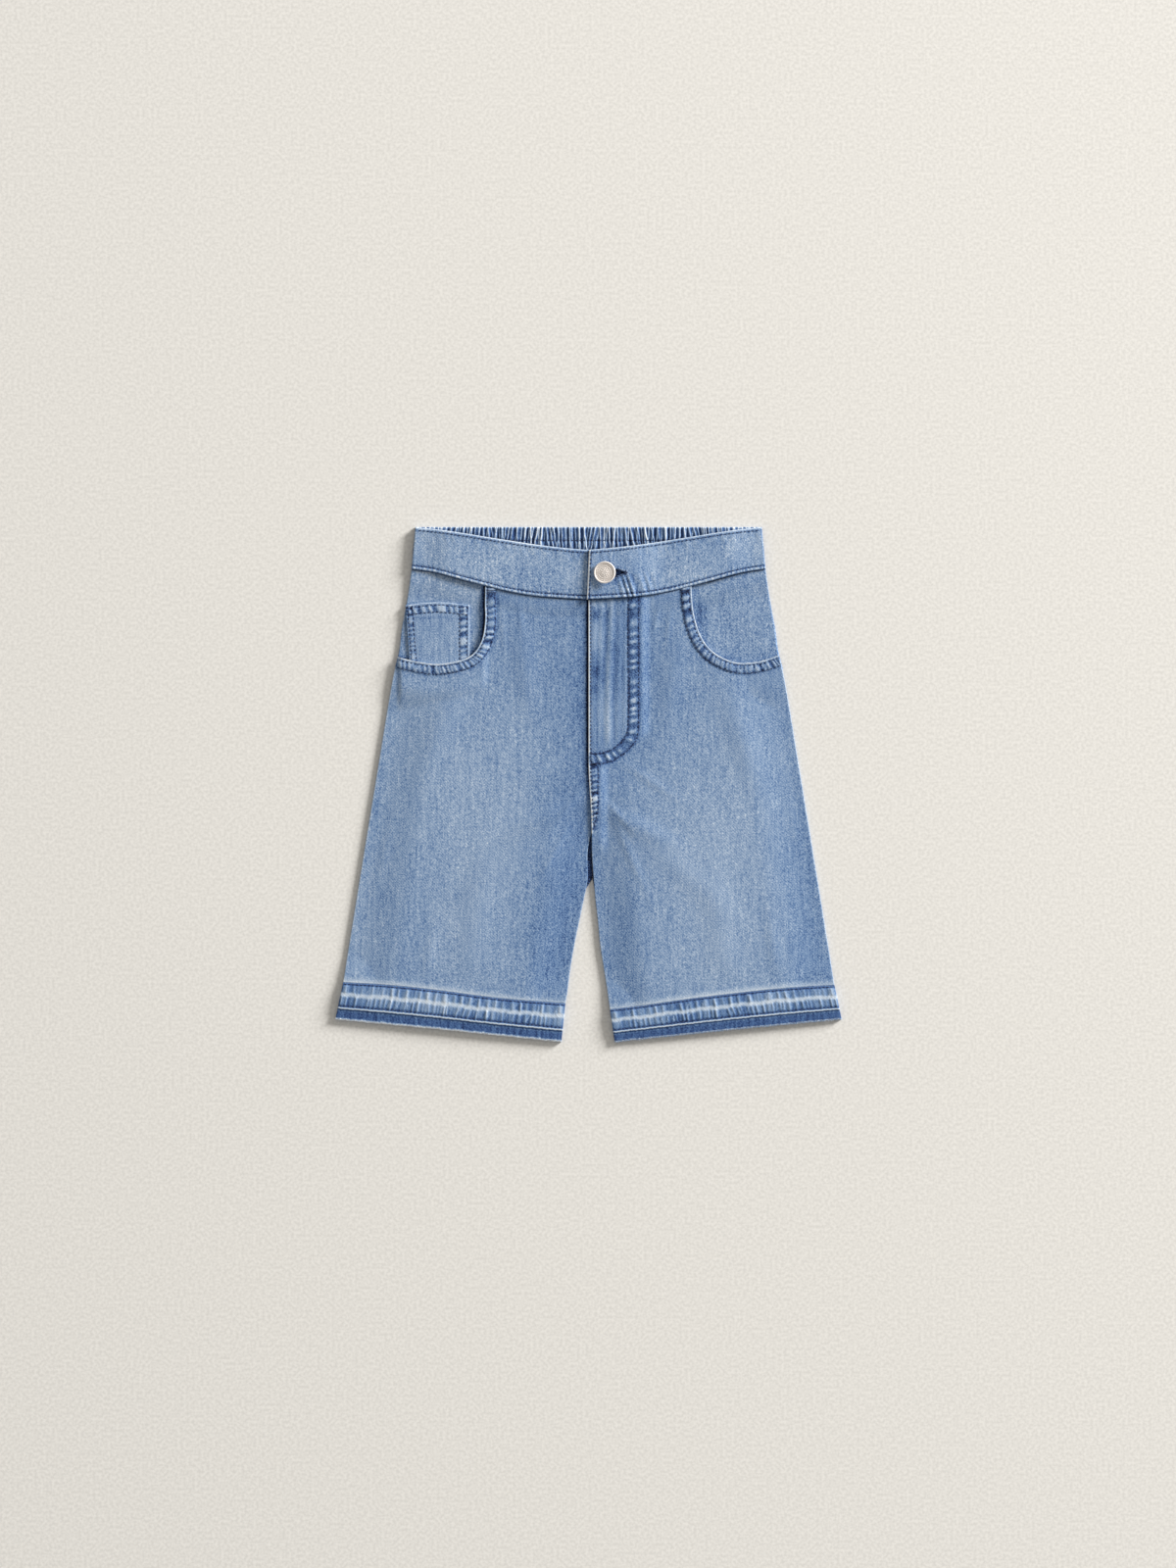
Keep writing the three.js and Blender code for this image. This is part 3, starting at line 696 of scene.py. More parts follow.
def linear(red, green, blue):
    """Shader colour from 0 to 255 screen values."""
    values = [channel / 255 for channel in (red, green, blue)]
    return (*[v / 12.92 if v <= 0.04045 else ((v + 0.055) / 1.055) ** 2.4 for v in values], 1)


def scaled(colour, factor):
    """Colour with its channels scaled and kept under 1."""
    return (*[min(1, factor * channel) for channel in colour[:3]], 1)


class Finish:
    """A material built up node by node over its piece's Object coordinates."""

    def __init__(self, name):
        self.material = bpy.data.materials.new(name)
        self.material.use_nodes = True
        self.nodes = self.material.node_tree.nodes
        self.links = self.material.node_tree.links
        self.place = self.add("ShaderNodeTexCoord").outputs["Object"]

    def feed(self, node, values):
        """Sets each input of a node to a value, or links it where the value is a socket."""
        for key, value in values.items():
            if isinstance(value, bpy.types.NodeSocket):
                self.links.new(value, node.inputs[key])
            else:
                node.inputs[key].default_value = value

    def add(self, kind, values=None):
        node = self.nodes.new(kind)
        self.feed(node, values or {})
        return node

    def math(self, operation, *values):
        node = self.add("ShaderNodeMath", dict(enumerate(values)))
        node.operation = operation
        return node.outputs["Value"]

    def noise(self, scale, detail, stretch=(1, 1, 1)):
        """Noise over the piece, with its coordinates scaled by the stretch."""
        mapping = self.add("ShaderNodeMapping", {"Vector": self.place, "Scale": stretch})
        place = mapping.outputs["Vector"]
        values = {"Vector": place, "Scale": scale, "Detail": detail}
        return self.add("ShaderNodeTexNoise", values).outputs["Fac"]

    def ramp(self, value, *stops):
        """Colour over a value, through stops of a place and a colour."""
        node = self.add("ShaderNodeValToRGB", {"Fac": value})
        for _ in stops[2:]:
            node.color_ramp.elements.new(0.5)
        for element, (place, colour) in zip(node.color_ramp.elements, stops):
            element.position = place
            element.color = colour
        return node.outputs["Color"]

    def bump(self, height, strength, distance):
        values = {"Height": height, "Strength": strength, "Distance": distance * MM}
        return self.add("ShaderNodeBump", values).outputs["Normal"]

    def surface(self, values):
        """Feeds the shader and gives back the finished material."""
        self.feed(self.nodes["Principled BSDF"], values)
        return self.material


# Denim from its deepest indigo to bare white cotton, by tone
DENIM_SHADES = table(
    "tone red green blue",
    (0, 14, 24, 50),
    (0.15, 46, 71, 119),
    (0.32, 82, 114, 159),
    (0.5, 121, 147, 181),
    (0.64, 146, 167, 194),
    (0.8, 172, 189, 210),
    (0.92, 210, 219, 228),
    (1, 238, 240, 240),
)

# Layers of noise in the denim, from its sandy grain to broad clouds; the first also gives relief
GRAIN = table(
    "along_y scale detail strength",
    (0.85, 1100, 1.0, 0.95),
    (0.5, 480, 2.0, 0.24),
    (0.08, 620, 1.0, 0.3),
    (0.06, 170, 2.0, 0.08),
    (0.8, 70, 3.0, 0.08),
    (0.8, 22, 3.0, 0.07),
)

# Pale cloth shows only a share of the grain: the tones between which it fades, and both shares
GRAIN_FADE = {"From Min": 0.6, "From Max": 0.85, "To Min": 1.0, "To Max": 0.3}
TWILL_WAVER = 1.5
DENIM_SURFACE = {
    "Roughness": 0.92, "Specular IOR Level": 0.2, "Sheen Weight": 0.12, "Sheen Roughness": 0.5,
}


def denim_material(name, settings, grain=1.0):
    """Washed twill whose tone follows the piece, with slubs, sandy grain and a fine diagonal."""
    finish = Finish(name)
    attribute = finish.add("ShaderNodeAttribute")
    attribute.attribute_name = "tone"
    tone = attribute.outputs["Fac"]
    speckle = 0.0
    fields = []
    for along_y, scale, detail, strength in zip(*GRAIN.values()):
        fields.append(finish.noise(scale, detail, (1, along_y, 1)))
        centred = finish.math("SUBTRACT", fields[-1], 0.5)
        amount = strength * grain * settings.grain
        speckle = finish.math("MULTIPLY_ADD", centred, amount, speckle)
    fade = finish.add("ShaderNodeMapRange", {"Value": tone, **GRAIN_FADE})
    fade.interpolation_type = "SMOOTHSTEP"
    value = finish.math("MULTIPLY_ADD", speckle, fade.outputs["Result"], tone)
    stops = [(place, linear(*colour)) for place, *colour in zip(*DENIM_SHADES.values())]
    waves = {"Vector": finish.place, "Scale": settings.twill, "Distortion": TWILL_WAVER}
    twill = finish.add("ShaderNodeTexWave", waves)
    twill.bands_direction = "DIAGONAL"
    weave = finish.math("MULTIPLY_ADD", twill.outputs["Fac"], 0.5, fields[0])
    normal = finish.bump(weave, strength=0.35, distance=0.2)
    return finish.surface({"Base Color": finish.ramp(value, *stops), "Normal": normal, **DENIM_SURFACE})


def thread_material(name, colour, roughness=0.75):
    """Cotton thread, mottled from darker to lighter than its colour."""
    finish = Finish(name)
    light = [min(1, 1.25 * channel + 0.01) for channel in colour[:3]]
    field = finish.noise(scale=700, detail=2.0)
    shades = finish.ramp(field, (0, scaled(colour, 0.7)), (1, (*light, 1)))
    return finish.surface({"Base Color": shades, "Roughness": roughness})


MATERIALS = {}


def material_for(key):
    """The shared materials, each made when it is first asked for."""
    settings = bpy.context.scene.shorts_cloth
    makers = {
        "denim": lambda: denim_material("washed_denim", settings),
        "band": lambda: denim_material("waistband_denim", settings, 1.15),
        "gathers": lambda: denim_material("gathered_denim", settings, 0.5),
        "hem": lambda: denim_material("let_down_denim", settings, 0.5),
        "thread": lambda: thread_material("navy_thread", settings.thread_colour),
        "fray": lambda: thread_material("cotton_fray", linear(190, 201, 217), 0.95),
    }
    if key not in MATERIALS:
        MATERIALS[key] = makers[key]()
    return MATERIALS[key]


def wash_and_shading(x, y):
    """Tone of the front's wash at each point, with its painted light and painted shade."""
    tone = np.full(x.shape, WASH_BASE)
    for cx, cy, across, down, amount in zip(*WASH_AND_SHADING.values()):
        tone += amount * np.exp(-(((x - cx) / across) ** 2) - ((y - cy) / down) ** 2)
    return tone


def rungs(place, pitch, seed):
    """Uneven ladder from -1 to 1 along a seam, whose pitch may pass from one value to another."""
    first, last, change = pitch if isinstance(pitch, tuple) else (pitch, pitch, 1)
    along = np.linspace(-5, 600, 2400)
    steps = lerp(1 / first, 1 / last, smoothstep(along, 0.7 * change, 1.3 * change))
    turns = np.cumsum(steps) * (along[1] - along[0])
    count = np.interp(np.abs(place), along, turns)
    phase = np.sign(place) * count
    phase = phase + 0.33 * np.sin(0.9 * phase + seed)
    phase = phase + 0.18 * np.sin(2.3 * count + 2 * seed)
    return np.sin(2 * np.pi * phase) * (0.75 + 0.25 * np.sin(1.7 * phase + seed))


class Relief:
    """Fine height and tone of a piece, added seam by seam."""

    def __init__(self, grid, tone):
        self.grid = grid
        self.height = np.zeros(grid.x.shape)
        self.tone = np.array(np.broadcast_to(tone, grid.x.shape), float)

    def add(self, height, tone):
        self.height += height
        self.tone += tone

    def strip(self, distance, height=(0, 1), tone=(0, 1)):
        """Soft strip where a distance is near 0: strength and width of its height and of its tone."""
        self.add(height[0] * bell(distance, height[1]), tone[0] * bell(distance, tone[1]))

    def sunk_row(self, path, depth=0.3, width=0.85, dark=0.27):
        """Groove along a row of stitching."""
        distance, _, place = beside(path, self.grid.x, self.grid.y, 4)
        trough = bell(distance, width)
        self.add(-depth * trough, -dark * trough * (0.8 + 0.2 * rungs(place, pitch=6.1, seed=2)))

    def worn_edge(self, path, pale=0.4, width=1.1):
        """Pale wear along a folded edge."""
        distance, _, place = beside(path, self.grid.x, self.grid.y, 5)
        patchy = 0.85 + 0.15 * rungs(place, pitch=9, seed=3)
        self.add(0, pale * patchy * bell(distance, width))

    def ladder(self, path, half_width, pitch, height, contrast, seed, dark=0.0, spotted=False):
        """Puckers across the strip within half a width of a path, as pale spots if asked."""
        x, y = self.grid.x, self.grid.y
        distance, side, place = beside(path, x, y, half_width + 4)
        strip = 1 - smoothstep(distance, 0.72 * half_width, 1.12 * half_width)
        slanted = place + 0.25 * side * distance
        wave = rungs(slanted, pitch, seed)
        blocks = np.clip(1.7 * wave, -1, 1)
        patchy = 0.78 + 0.22 * np.sin(place * 0.13 + seed)
        if spotted:
            blocks = np.maximum(blocks, 0) * bell(distance, 0.55 * half_width)
        self.add(height * strip * (0.6 + wave), (contrast * blocks * patchy - dark) * strip)

    def halo(self, path, reach, dark):
        """Soft shade along a line."""
        distance, _, _ = beside(path, self.grid.x, self.grid.y, 3 * reach)
        self.add(0, -dark * bell(distance, reach))


# Puckers beside rows of stitching. A pitch may be its first value, its last and where it changes
LADDERS = {
    "mouth": {"half_width": 3.6, "pitch": (7.0, 3.7, 48), "height": 0.34, "contrast": 0.35, "dark": 0.03},
    "fly": {"half_width": 5.0, "pitch": (9.6, 7.2, 45), "height": 0.3, "contrast": 0.7, "dark": 0.22},
    "rise": {"half_width": 3.2, "pitch": 4.8, "height": 0.26, "contrast": 0.48, "dark": 0.02},
    "coin": {"half_width": 3.1, "pitch": 6.4, "height": 0.26, "contrast": 0.32, "dark": 0.03},
    "coin_side": {"half_width": 2.2, "pitch": 5.2, "height": 0.22, "contrast": 0.3, "dark": 0.08},
}

# Shallow grooves of the coin pocket's rows
COIN_ROW = {"depth": 0.22, "width": 0.7, "dark": 0.2}

# Tone of each piece before its wear, and the radius to which its edges roll over
BASE_TONE = {
    "back_leg": 0.5, "facing": 0.53, "coin_pocket": 0.54, "waistband_right": 0.59, "waistband_left": 0.57,
}
FRONT_ROLL = 0.35
CLOTH_ROLL = 0.45
HEM_ROLL = 0.5
BACK_BAND_ROLL = 0.6
BAND_ROLL = 0.8

# Cloth turned in along the pocket mouth: how much it lifts the front and where that ends
MOUTH_TURN_HEIGHT = 0.45
MOUTH_TURN = (7.6, 9.4)

# Distances of the rows of topstitching from the edges that they follow
MOUTH_ROWS = (1.9, 8.2)
COIN_ROWS = (2.2, 8.0)
COIN_SIDE_ROWS = (1.8, 5.6)
CENTRE_ROW = 1.9
BAND_TOP_ROW = 2.3
BAND_LOW_ROW = 3.2

# Inner and outer rows of the fly's stitching, from the waistband round to the centre front
FLY_ROWS = table(
    "inner_x inner_y outer_x outer_y",
    (32.4, 151.6, 41.2, 152.2),
    (32.2, 118, 41, 120),
    (32.6, 84, 41, 88),
    (32.5, 55, 41, 58),
    (31.3, 42.2, 39.6, 38.4),
    (25.2, 33.4, 32.4, 28.6),
    (16.4, 27.3, 22.7, 21.2),
    (9, 25.8, 12, 17.4),
    (1.2, 25.4, 1.2, 16.4),
)


def fly_row(outward):
    """A row of the fly, at a share of the way from the inner to the outer one."""
    x = lerp(FLY_ROWS["inner_x"], FLY_ROWS["outer_x"], outward)
    y = lerp(FLY_ROWS["inner_y"], FLY_ROWS["outer_y"], outward)
    return spline(xy(x, y))


# Height above the crotch over which the rise's rows close, and the worn lengths of seams
RISE_CLOSES = 20
SIDE_WORN = (100, -160)
CENTRE_WORN = (150, -39)


def rise_curve(at_x, start_y):
    """Row beside the centre seam, running to the crotch."""
    foot_x, foot_y = FRONT_CROTCH
    y = np.linspace(start_y, foot_y + 2, 30)
    closing = smoothstep(y, foot_y, foot_y + RISE_CLOSES)
    return Path(xy(lerp(foot_x + 1.2, at_x, closing), y))


FLY_INNER = fly_row(0)
FLY_OUTER = fly_row(1)
FLY_MIDDLE = fly_row(0.5)
RISE_OUTER = rise_curve(at_x=7.8, start_y=14)
RISE_MIDDLE = rise_curve(at_x=4.8, start_y=14)


def centre_front_x(leg, y):
    """Inner edge of a front panel, which runs into the crotch."""
    foot = FRONT_CROTCH[0] + leg.sign * SEAM_GAP / 2
    above = y - FRONT_CROTCH[1]
    if leg.sign < 0:
        return lerp(foot, FRONT_UNDERLAP, smoothstep(above, 0, UNDERLAP_TAPER))
    return lerp(foot, 0, smoothstep(above, 0, OVERLAP_TAPER))


def line_y(y_at, start, end):
    """Edge between two corners that follows a seam given as y for each x."""

    def edge(share):
        x = lerp(start[0], end[0], share)
        ease = lerp(start[1] - y_at(start[0]), end[1] - y_at(end[0]), share)
        return xy(x, y_at(x) + ease)

    return edge


def front_grid(leg):
    """Grid of a front panel, closer where it is stitched."""
    mouth = leg.mouth
    inner_top = float(waist_seam(0)) - SEAM_GAP

    def outer(v):
        share = np.clip((v - MOUTH_SHARE) / (1 - MOUTH_SHARE), 0, 1)
        y = lerp(mouth.points[-1][1], leg.outer_top[1] + 0.15 * SEAM_GAP, share)
        side = xy(leg.sign * side_x(y), y)
        return np.where((v <= MOUTH_SHARE)[:, None], mouth.share(v / MOUTH_SHARE), side)

    def inner(v):
        above = lerp(inner_top, FRONT_CROTCH[1], np.clip(v / RISE_SHARE, 0, 1))
        share = np.clip((v - RISE_SHARE) / (1 - RISE_SHARE), 0, 1)
        below = lerp(FRONT_CROTCH[1], leg.inner_top[1] + 0.15 * SEAM_GAP, share)
        rise = xy(centre_front_x(leg, above), above)
        inseam = xy(inseam_x(leg, below), below)
        return np.where((v <= RISE_SHARE)[:, None], rise, inseam)

    top = line_y(lambda x: waist_seam(x) - SEAM_GAP, outer(ENDS)[0], inner(ENDS)[0])
    bottom = line_y(lambda x: hem_seam(leg, x) + 0.15 * SEAM_GAP, outer(ENDS)[1], inner(ENDS)[1])
    columns = stations(FRONT_WIDTH, (14, 1.1), (138, 2.0), (FRONT_WIDTH, 1.2))
    rows = np.concatenate([
        even_stations(MOUTH_LENGTH, 1.25)[:-4] * MOUTH_SHARE,
        np.linspace(MOUTH_SHARE, RISE_SHARE, 62)[:-1],
        lerp(RISE_SHARE, 1, np.linspace(0, 1, 86))[:-3],
        1 - ROUNDING[::-1] / FRONT_LENGTH,
    ])
    return spread(top, bottom, outer, inner, columns, rows)


def front_panel(leg):
    """A front leg with its pocket edge, fly stitching and worn seams."""
    grid = front_grid(leg)
    x, y = grid.x, grid.y
    under = front_deck(leg, x, y)
    relief = Relief(grid, wash_and_shading(x, y))
    inside = climb(CREASE_EDGE, grid.from_edge())
    creases = ridge_height(CREASES, x, y) * inside
    relief.add(creases, 0.08 * creases)
    edge = leg.mouth
    inward = -leg.sign
    rows = [edge.moved(inward * offset) for offset in MOUTH_ROWS]
    distance, _, _ = beside(edge, x, y, 16)
    relief.add(MOUTH_TURN_HEIGHT * (1 - climb(MOUTH_TURN, distance)), 0)
    relief.worn_edge(edge, pale=0.5, width=1.2)
    middle = edge.moved(inward * sum(MOUTH_ROWS) / 2)
    relief.ladder(middle, **LADDERS["mouth"], seed=1.0 + inward)
    for row in rows:
        relief.sunk_row(row)
    relief.halo(rows[1].moved(inward * 1.6), reach=1.4, dark=0.05)
    side = Path([(leg.sign * float(side_x(at)), at) for at in np.linspace(*SIDE_WORN, 60)])
    relief.worn_edge(side, pale=0.3, width=0.8)
    relief.halo(side.moved(-inward * 4), reach=2.4, dark=0.03)
    if leg.sign > 0:
        under = under + fly_rise(x, y)
        centre = Path([(float(centre_front_x(leg, at)), at) for at in np.linspace(*CENTRE_WORN, 90)])
        # Pale worn edge of the fly, partly a painted highlight where its rolled edge faces away from the
        # key light
        relief.worn_edge(centre, pale=0.9, width=1.0)
        relief.sunk_row(centre.moved(CENTRE_ROW), depth=0.16, width=0.6, dark=0.2)
        relief.ladder(FLY_MIDDLE, **LADDERS["fly"], seed=2.0, spotted=True)
        relief.ladder(RISE_MIDDLE, **LADDERS["rise"], seed=4.0)
        for row in (FLY_INNER, FLY_OUTER, RISE_OUTER):
            relief.sunk_row(row)
        relief.halo(FLY_OUTER.moved(1.6), reach=1.8, dark=0.06)
        placket = climb((3, 8), x) * (1 - climb((26, 31), x)) * climb((28, 40), y)
        streaks = np.sin(x * 0.62 + 0.9 * np.sin(y * 0.031)) * np.sin(x * 0.21 + 1.2)
        lower = bell(y - 58, 34)
        relief.add(0.22 * streaks * placket, placket * (0.16 * streaks + 0.06 * lower - 0.05))
    else:
        # Painted shadow on the right front beside the overlapping left front's edge, partly unfaded cloth
        # under the overlap
        beyond = centre_front_x(LEFT, y) - x
        unfaded_and_shadow = 0.6 * (1 - smoothstep(beyond, 0.5, 2.6)) + 0.1 * (1 - smoothstep(beyond, 0, 12))
        relief.add(0, -unfaded_and_shadow * smoothstep(y, FRONT_CROTCH[1] + 4, FRONT_CROTCH[1] + 90))
    inseam_y = np.linspace(FRONT_CROTCH[1] - 4, leg.inner_top[1], 60)
    inseam = Path(xy(inseam_x(leg, inseam_y), inseam_y))
    relief.worn_edge(inseam, pale=0.12, width=0.9)
    relief.strip(grid.from_bottom - 1.3, height=(0.25, 1.2))
    relief.strip(grid.from_bottom - 1.5, tone=(0.42, 1.1))
    over = under + CLOTH + relief.height - rolled(grid, FRONT_ROLL)
    piece = make_wall(f"front_leg_{leg.name}", grid, under, over, relief.tone, material_for("denim"))
    dress_sheet(piece, f"front_panel_{leg.name}", CUTS["front_leg"], grid.area())


def back_panel(leg):
    """A plain back leg, flat on the surface, with its centre seam and inseam."""
    top_y = WAIST_Y - BACK_BAND_DEPTH - SEAM_GAP
    centre = leg.sign * SEAM_GAP / 2
    fork = BACK_FORK_SHARE

    def outer(v):
        y = lerp(top_y, leg.outer_top[1] + SEAM_GAP, v)
        return xy(leg.sign * side_x(y), y)

    def inner(v):
        seat_y = lerp(top_y, BACK_CROTCH[1], np.clip(v / fork, 0, 1))
        seat_x = lerp(centre, BACK_CROTCH[0] + centre, np.clip(v / fork, 0, 1))
        leg_y = lerp(BACK_CROTCH[1], leg.inner_top[1] + SEAM_GAP, np.clip((v - fork) / (1 - fork), 0, 1))
        ease = smoothstep(BACK_CROTCH[1] - leg_y, 0, INSEAM_EASE)
        leg_x = lerp(BACK_CROTCH[0] + centre, inseam_x(leg, leg_y), ease)
        seat = xy(seat_x, seat_y)
        lower = xy(leg_x, leg_y)
        return np.where((v <= fork)[:, None], seat, lower)

    top = line_y(lambda x: np.full_like(x, top_y), outer(ENDS)[0], inner(ENDS)[0])
    bottom = line_y(lambda x: hem_seam(leg, x) + SEAM_GAP, outer(ENDS)[1], inner(ENDS)[1])
    columns = stations(BACK_WIDTH, (156, 5), (BACK_WIDTH, 0.9))
    rows = np.concatenate([even_stations(BACK_LENGTH, 5)[:-4] * fork, np.linspace(fork, 1, 26)])
    grid = spread(top, bottom, outer, inner, columns, rows)
    tone = np.full(grid.x.shape, BASE_TONE["back_leg"]) - 0.16 * bell(grid.from_edge(), 3)
    for row in MOUTH_ROWS:
        tone -= 0.22 * bell(grid.from_inner - row, 0.8)
    # Painted shadow near the inner edge, where the back shows through the slit between the front legs;
    # the underside keeps the unshaded tone
    slit = (FRONT_CROTCH[1] + BACK_CROTCH[1]) / 2
    shade = 0.6 * (1 - smoothstep(grid.from_inner, 5, 8)) * bell(grid.y - slit, 26)
    over = CLOTH - rolled(grid, CLOTH_ROLL)
    shaded = np.maximum(tone - shade, 0)
    piece = make_wall(f"back_leg_{leg.name}", grid, 0, over, shaded, material_for("denim"), tone)
    dress_sheet(piece, f"back_panel_{leg.name}", CUTS["back_leg"], grid.area())


def pleats(count, at, spread=CREST_SPREAD):
    """Height from 0 to about 1 of a row of uneven pleats at shares along it."""
    index = np.arange(count)
    widths = 1 + WIDTH_SPREAD * scatter(index)
    starts = np.concatenate([[0], np.cumsum(widths)])
    places, heights = [], []
    for number in index:
        ridge = 0.5 + RIDGE_SPREAD * scatter(number + count)
        crest = 1 + spread * scatter(number + 2 * count)
        places.append(starts[number])
        heights.append(0.0)
        for beside_ridge, height in zip(*PLEAT.values()):
            places.append(starts[number] + widths[number] * (ridge + beside_ridge))
            heights.append(height * crest)
    places.append(starts[-1])
    heights.append(0.0)
    return np.interp(at, np.array(places) / starts[-1], heights)


def back_waistband():
    """The straight elasticated band, with its gathers standing open above the front."""
    columns = even_stations(WAIST_LENGTH, 0.44)
    downs = even_stations(BACK_BAND_DEPTH, 0.9) * BACK_BAND_DEPTH
    across = 2 * columns[None, :] - 1
    y = WAIST_Y - downs[:, None] + 0 * across
    inside = 1 - across ** 8
    down = downs[:, None] / BACK_BAND_DEPTH
    lean = GATHER_LEAN * inside * np.sin(LEAN_WAVES * columns[None, :]) * down
    x = across * side_x(y) + lean
    grid = Grid(xy(x, y))
    front_y = waist_top(across * side_x(WAIST_Y)) + 0 * y
    broad = pleats(BACK_GATHERS, np.clip(columns[None, :] + 0 * down, 0, 1))
    slant = 4.5 * np.sin(0.11 * x + 1.4) + 3 * np.sin(0.27 * x + 0.5) + 0.6 * np.sin(0.7 * y)
    sweep = inside * slant * np.minimum(down, 0.5) / WAIST_LENGTH
    narrow = pleats(CREASED_GATHERS, np.clip(columns[None, :] + sweep, 0, 1), CREASE_SPREAD)
    crossing = pleats(CROSSING_GATHERS, np.clip(columns[None, :] - 0.9 * sweep, 0, 1), CREASE_SPREAD)
    crest = np.clip(np.maximum(narrow ** 4, 0.9 * crossing ** 8), 0, 1)
    covered = 1 - smoothstep(y - front_y, SEAM_GAP, 8 * SEAM_GAP)
    standing = GATHER_HEIGHT * climb(GATHER_OPENS, WAIST_Y - front_y)
    lying = 0.8 * PRESSED_GATHER * (1 - climb(GATHER_ENDS, np.abs(x)))
    height = lerp(standing, lying, covered)
    row = bell(downs[:, None] - GATHER_ROW, 1.0)
    gathered = height * (0.45 * broad + 0.55 * crest) * (1 - 0.35 * row)
    over = BAND_THICK + gathered - rolled(grid, BACK_BAND_ROLL)
    # Pale crests and deep navy between them: partly fade, partly painted light on the crests and painted
    # shade in the troughs
    tone = 0.05 + 0.17 * broad + 0.96 * crest - 0.14 * row
    tone += 0.3 * bell(downs[:, None], 0.8) + 0 * x
    plain = 0.35 + 0.3 * broad + 0 * x
    piece = make_wall("back_band", grid, 0, over, tone, material_for("gathers"), plain)
    cut = CUTS["back_band"]
    dress_sheet(piece, "back_waistband", cut, cut[0] * cut[1])


def facing(leg):
    """Facing seen in the pocket mouth."""
    tucked = leg.mouth.moved(-leg.sign * FACING_TUCK)
    low = tucked.points[-1]
    low_y = float(low[1])
    seam_y = lambda x: waist_seam(x) - SEAM_GAP
    corner = corner_on(seam_y, lambda y: leg.sign * side_x(y), guess=leg.sign * 144)
    first_x = float(tucked.points[0][0])
    tucked.points[0] = (first_x, float(seam_y(first_x)))
    tucked.points[-1] = (leg.sign * float(side_x(low_y)), low_y)
    inner = Path(tucked.points)
    half = 0.5

    def outer(v):
        y = lerp(corner[1], low_y, v)
        return xy(leg.sign * side_x(y), y)

    top = line_y(seam_y, outer(ENDS)[0], inner.points[0])
    inner_edge = lambda v: inner.share(half * v)
    bottom = lambda u: inner.share(1 - (1 - half) * u)
    size = even_stations(FACING_SIZE, 1.6)
    grid = spread(top, bottom, outer, inner_edge, size, size)
    relief = Relief(grid, BASE_TONE["facing"])
    distance, _, _ = beside(leg.mouth, grid.x, grid.y, 16)
    if leg.sign < 0:
        # Painted light below the waistband against the shadow that the band casts, and painted shadow of
        # the front's mouth edge, strongest along its straight upper part
        shade = 0.15 + 0.45 * smoothstep(grid.y, 112, 130)
        relief.strip(grid.from_top, tone=(0.1, 14))
        relief.strip(distance - 6, tone=(0.06, 3))
        relief.strip(distance, tone=(-shade, 1.9))
        relief.strip(distance, tone=(-0.3 * shade, 4.5))
    else:
        # Painted shade beside the mouth's edge
        relief.strip(np.hypot((grid.x - 91) / 5, (grid.y - 140) / 13), tone=(-0.16, 1))
    # Painted shade along the mouth's edge and just under the waistband
    relief.strip(distance, tone=(-0.07, 6))
    relief.strip(grid.from_top, tone=(-0.03, 3))
    swell = 0.12 * np.sin(grid.x * 0.11 + 1) * np.sin(grid.y * 0.09)
    relief.add(swell * climb(FACING_EDGE, grid.from_edge()) - 0.05, 0)
    under = CLOTH + SEAM_GAP + 1.0 * (1 - climb(FACING_SLOPE, grid.from_top))
    over = under + CLOTH + relief.height - rolled(grid, CLOTH_ROLL)
    piece = make_wall(f"pocket_lining_{leg.name}", grid, under, over, relief.tone, material_for("band"))
    node, rests_on = f"pocket_facing_{leg.name}", [f"back_leg_{leg.name}"]
    dress_sheet(piece, node, CUTS["facing"], grid.area())


def coin_edges():
    """Top, left and right edges of the coin pocket."""
    middle = (COIN["left"] + COIN["right"]) / 2
    top = spline([
        (COIN["left"], COIN["top"]),
        (middle, COIN["top"] + COIN["rise"]),
        (COIN["right"], COIN["top"]),
    ])
    left = Path([(COIN["left"], COIN["top"]), (COIN["left_low"], COIN["low"])])
    right = Path([(COIN["right"], COIN["top"]), (COIN["right"], COIN["low"])])
    return top, left, right


def coin_pocket():
    """Small pocket on the right facing, hemmed and topstitched."""
    top, left, right = coin_edges()
    low = Path([left.points[-1], right.points[-1]])
    shares = even_stations(COIN_SIZE, 0.9)
    grid = spread(top.share, low.share, left.share, right.share, shares, shares)
    relief = Relief(grid, BASE_TONE["coin_pocket"])
    for path in (top, right):
        strip = path.moved(-sum(COIN_ROWS) / 2)
        relief.ladder(strip, **LADDERS["coin"], seed=5.0)
        relief.worn_edge(path, pale=0.3, width=0.9)
        for offset in COIN_ROWS:
            relief.sunk_row(path.moved(-offset), **COIN_ROW)
    for offset in COIN_SIDE_ROWS:
        relief.sunk_row(left.moved(offset), **COIN_ROW)
    side_strip = left.moved(sum(COIN_SIDE_ROWS) / 2)
    relief.ladder(side_strip, **LADDERS["coin_side"], seed=7.0)
    relief.halo(top.moved(-12), reach=1.0, dark=0.12)
    under = 2 * (CLOTH + SEAM_GAP)
    over = under + CLOTH + relief.height * 0.8 - rolled(grid, CLOTH_ROLL)
    piece = make_wall("coin_pouch", grid, under, over, relief.tone, material_for("band"))
    dress_sheet(piece, "coin_pocket", CUTS["coin_pocket"], grid.area())


def band_lift(leg, x):
    """Height of a half of the front waistband's underside, raised where it overlaps the other."""
    step = (BAND_THICK + SEAM_GAP) * (1 - climb(OVERLAP_SLOPE, x)) if leg.sign > 0 else 0
    return band_deck(x) + step


